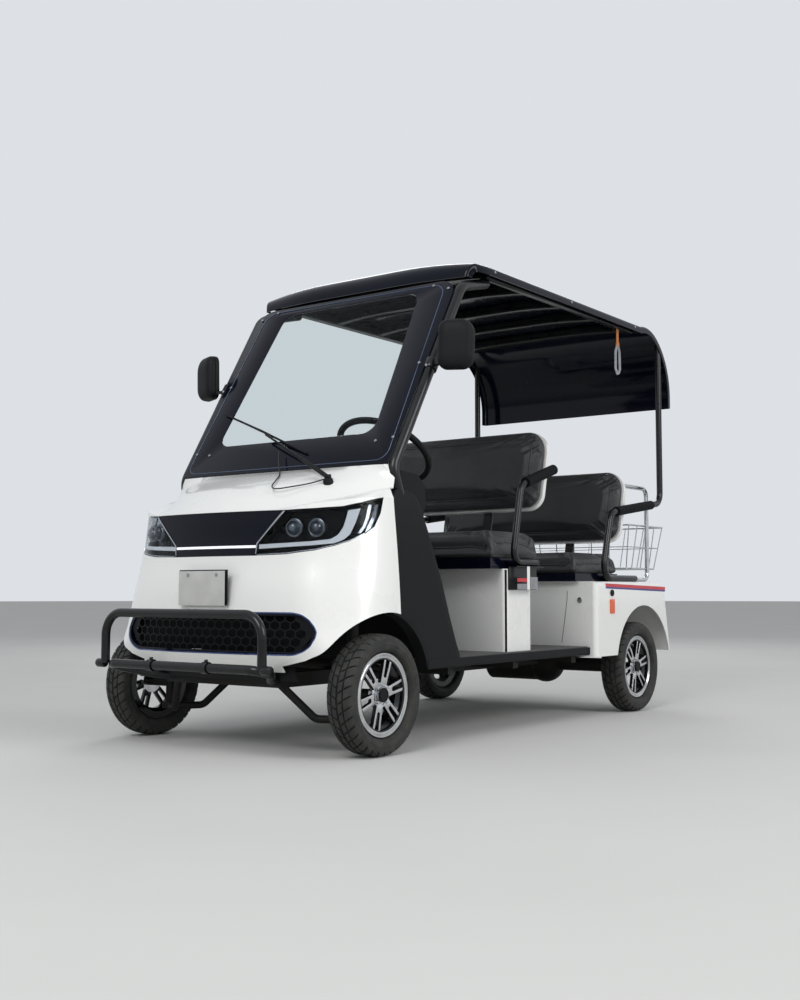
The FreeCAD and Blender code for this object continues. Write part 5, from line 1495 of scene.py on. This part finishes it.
class CartStage(bpy.types.PropertyGroup):
    """Light and background."""
    sky: bpy.props.FloatProperty(name="Sky", description="Strength of the soft sky", default=0.52, min=0, max=2)
    key: bpy.props.FloatProperty(name="Key lamp", description="Front lamp", default=235, min=0, unit="POWER")
    side: bpy.props.FloatProperty(name="Side lamp", description="Lamp at the side", default=210, min=0, unit="POWER")
    back: bpy.props.FloatProperty(name="Back lamp", description="Lamp behind", default=120, min=0, unit="POWER")


# Operators


class CART_OT_finishes(bpy.types.Operator):
    """Makes every finish and gives the carried-over solids theirs"""
    bl_idname = "cart.finishes"
    bl_label = "Finishes"

    def execute(self, context):
        make_finishes(context.scene.cart_colours)
        dress_nodes()
        return {"FINISHED"}


class CART_OT_stage(bpy.types.Operator):
    """Camera, soft light and pale floor"""
    bl_idname = "cart.stage"
    bl_label = "Stage"

    def execute(self, context):
        stage = context.scene.cart_stage
        make_camera()
        make_world(stage.sky)
        make_lamp("key", (1.5, -6.5, 5.5), (0, 0, 0.8), 4.0, stage.key)
        make_lamp("side", (7.0, -0.5, 4.0), (0, 0, 0.8), 4.0, stage.side)
        make_lamp("back", (-4.0, 6.0, 5.0), (0, 0, 0.9), 4.0, stage.back)
        make_floor()
        return {"FINISHED"}


class CART_OT_hose(bpy.types.Operator):
    """Washer hose"""
    bl_idname = "cart.hose"
    bl_label = "Washer hose"

    def execute(self, context):
        make_hose()
        return {"FINISHED"}


class CART_OT_front_body(bpy.types.Operator):
    """White front body, black band, mouth and plate"""
    bl_idname = "cart.front_body"
    bl_label = "Front body"

    def execute(self, context):
        make_front_shell()
        make_band()
        make_grille()
        make_plate()
        return {"FINISHED"}


class CART_OT_lamps(bpy.types.Operator):
    """Headlamps with their buckets, guides and projectors"""
    bl_idname = "cart.lamps"
    bl_label = "Headlamps"

    def execute(self, context):
        make_lamps()
        return {"FINISHED"}


class CART_OT_windshield(bpy.types.Operator):
    """Windshield plate, pane, seal, posts and wiper"""
    bl_idname = "cart.windshield"
    bl_label = "Windshield and posts"

    def execute(self, context):
        make_windshield()
        make_posts()
        make_wiper()
        return {"FINISHED"}


class CART_OT_mirrors(bpy.types.Operator):
    """Mirrors at both sides"""
    bl_idname = "cart.mirrors"
    bl_label = "Mirrors"

    def execute(self, context):
        make_mirrors()
        return {"FINISHED"}


class CART_OT_roof(bpy.types.Operator):
    """Crowned roof sheet with its ribs and bolts"""
    bl_idname = "cart.roof"
    bl_label = "Roof"

    def execute(self, context):
        make_roof()
        return {"FINISHED"}


class CART_OT_panels(bpy.types.Operator):
    """Black leg panels"""
    bl_idname = "cart.panels"
    bl_label = "Leg panels"

    def execute(self, context):
        make_side_panels()
        return {"FINISHED"}


class CART_OT_wheels(bpy.types.Operator):
    """Tyres and rims at the four corners"""
    bl_idname = "cart.wheels"
    bl_label = "Wheels"

    def execute(self, context):
        make_wheels()
        return {"FINISHED"}


class CART_OT_seats(bpy.types.Operator):
    """Cushions and back pads with their piping"""
    bl_idname = "cart.seats"
    bl_label = "Seats"

    def execute(self, context):
        make_seats()
        return {"FINISHED"}


class CART_OT_trim(bpy.types.Operator):
    """Stripes, reflectors, locks and small fittings"""
    bl_idname = "cart.trim"
    bl_label = "Trim"

    def execute(self, context):
        make_side_trim()
        return {"FINISHED"}


class CART_OT_small_parts(bpy.types.Operator):
    """Bumper ends and clamps, lower valance, seat box films and the hanging hand loop"""
    bl_idname = "cart.small_parts"
    bl_label = "Small parts"

    def execute(self, context):
        make_bumper_ends()
        make_valance()
        make_box_films()
        make_hand_loop()
        return {"FINISHED"}


OPERATORS = (CART_OT_stage, CART_OT_finishes, CART_OT_hose, CART_OT_front_body, CART_OT_lamps, CART_OT_windshield,
             CART_OT_mirrors, CART_OT_roof, CART_OT_panels, CART_OT_wheels, CART_OT_seats, CART_OT_trim,
             CART_OT_small_parts)


class CART_PT_sidebar(bpy.types.Panel):
    """Every step of the golf cart"""
    bl_idname = "CART_PT_sidebar"
    bl_label = "Golf cart"
    bl_space_type = "VIEW_3D"
    bl_region_type = "UI"
    bl_category = "Golf cart"

    def draw(self, context):
        column = self.layout.column()
        for group in (context.scene.cart_colours, context.scene.cart_sizes, context.scene.cart_stage):
            for key in group.bl_rna.properties.keys():
                if key not in ("rna_type", "name"):
                    column.prop(group, key)
        for operator in OPERATORS:
            column.operator(operator.bl_idname)


CLASSES = (CartColours, CartSizes, CartStage) + OPERATORS + (CART_PT_sidebar,)


def register():
    """Adds the panel, its buttons and the settings."""
    for item in CLASSES:
        bpy.utils.register_class(item)
    bpy.types.Scene.cart_colours = bpy.props.PointerProperty(type=CartColours)
    bpy.types.Scene.cart_sizes = bpy.props.PointerProperty(type=CartSizes)
    bpy.types.Scene.cart_stage = bpy.props.PointerProperty(type=CartStage)


def unregister():
    """Takes them away again."""
    del bpy.types.Scene.cart_stage
    del bpy.types.Scene.cart_sizes
    del bpy.types.Scene.cart_colours
    for item in reversed(CLASSES):
        bpy.utils.unregister_class(item)


def main():
    """Sets the cart up, one button after the other."""
    register()
    bpy.ops.cart.stage()
    bpy.ops.cart.finishes()
    bpy.ops.cart.hose()
    bpy.ops.cart.front_body()
    bpy.ops.cart.lamps()
    bpy.ops.cart.windshield()
    bpy.ops.cart.mirrors()
    bpy.ops.cart.roof()
    bpy.ops.cart.panels()
    bpy.ops.cart.wheels()
    bpy.ops.cart.seats()
    bpy.ops.cart.trim()
    bpy.ops.cart.small_parts()


if __name__ == "__main__":
    main()
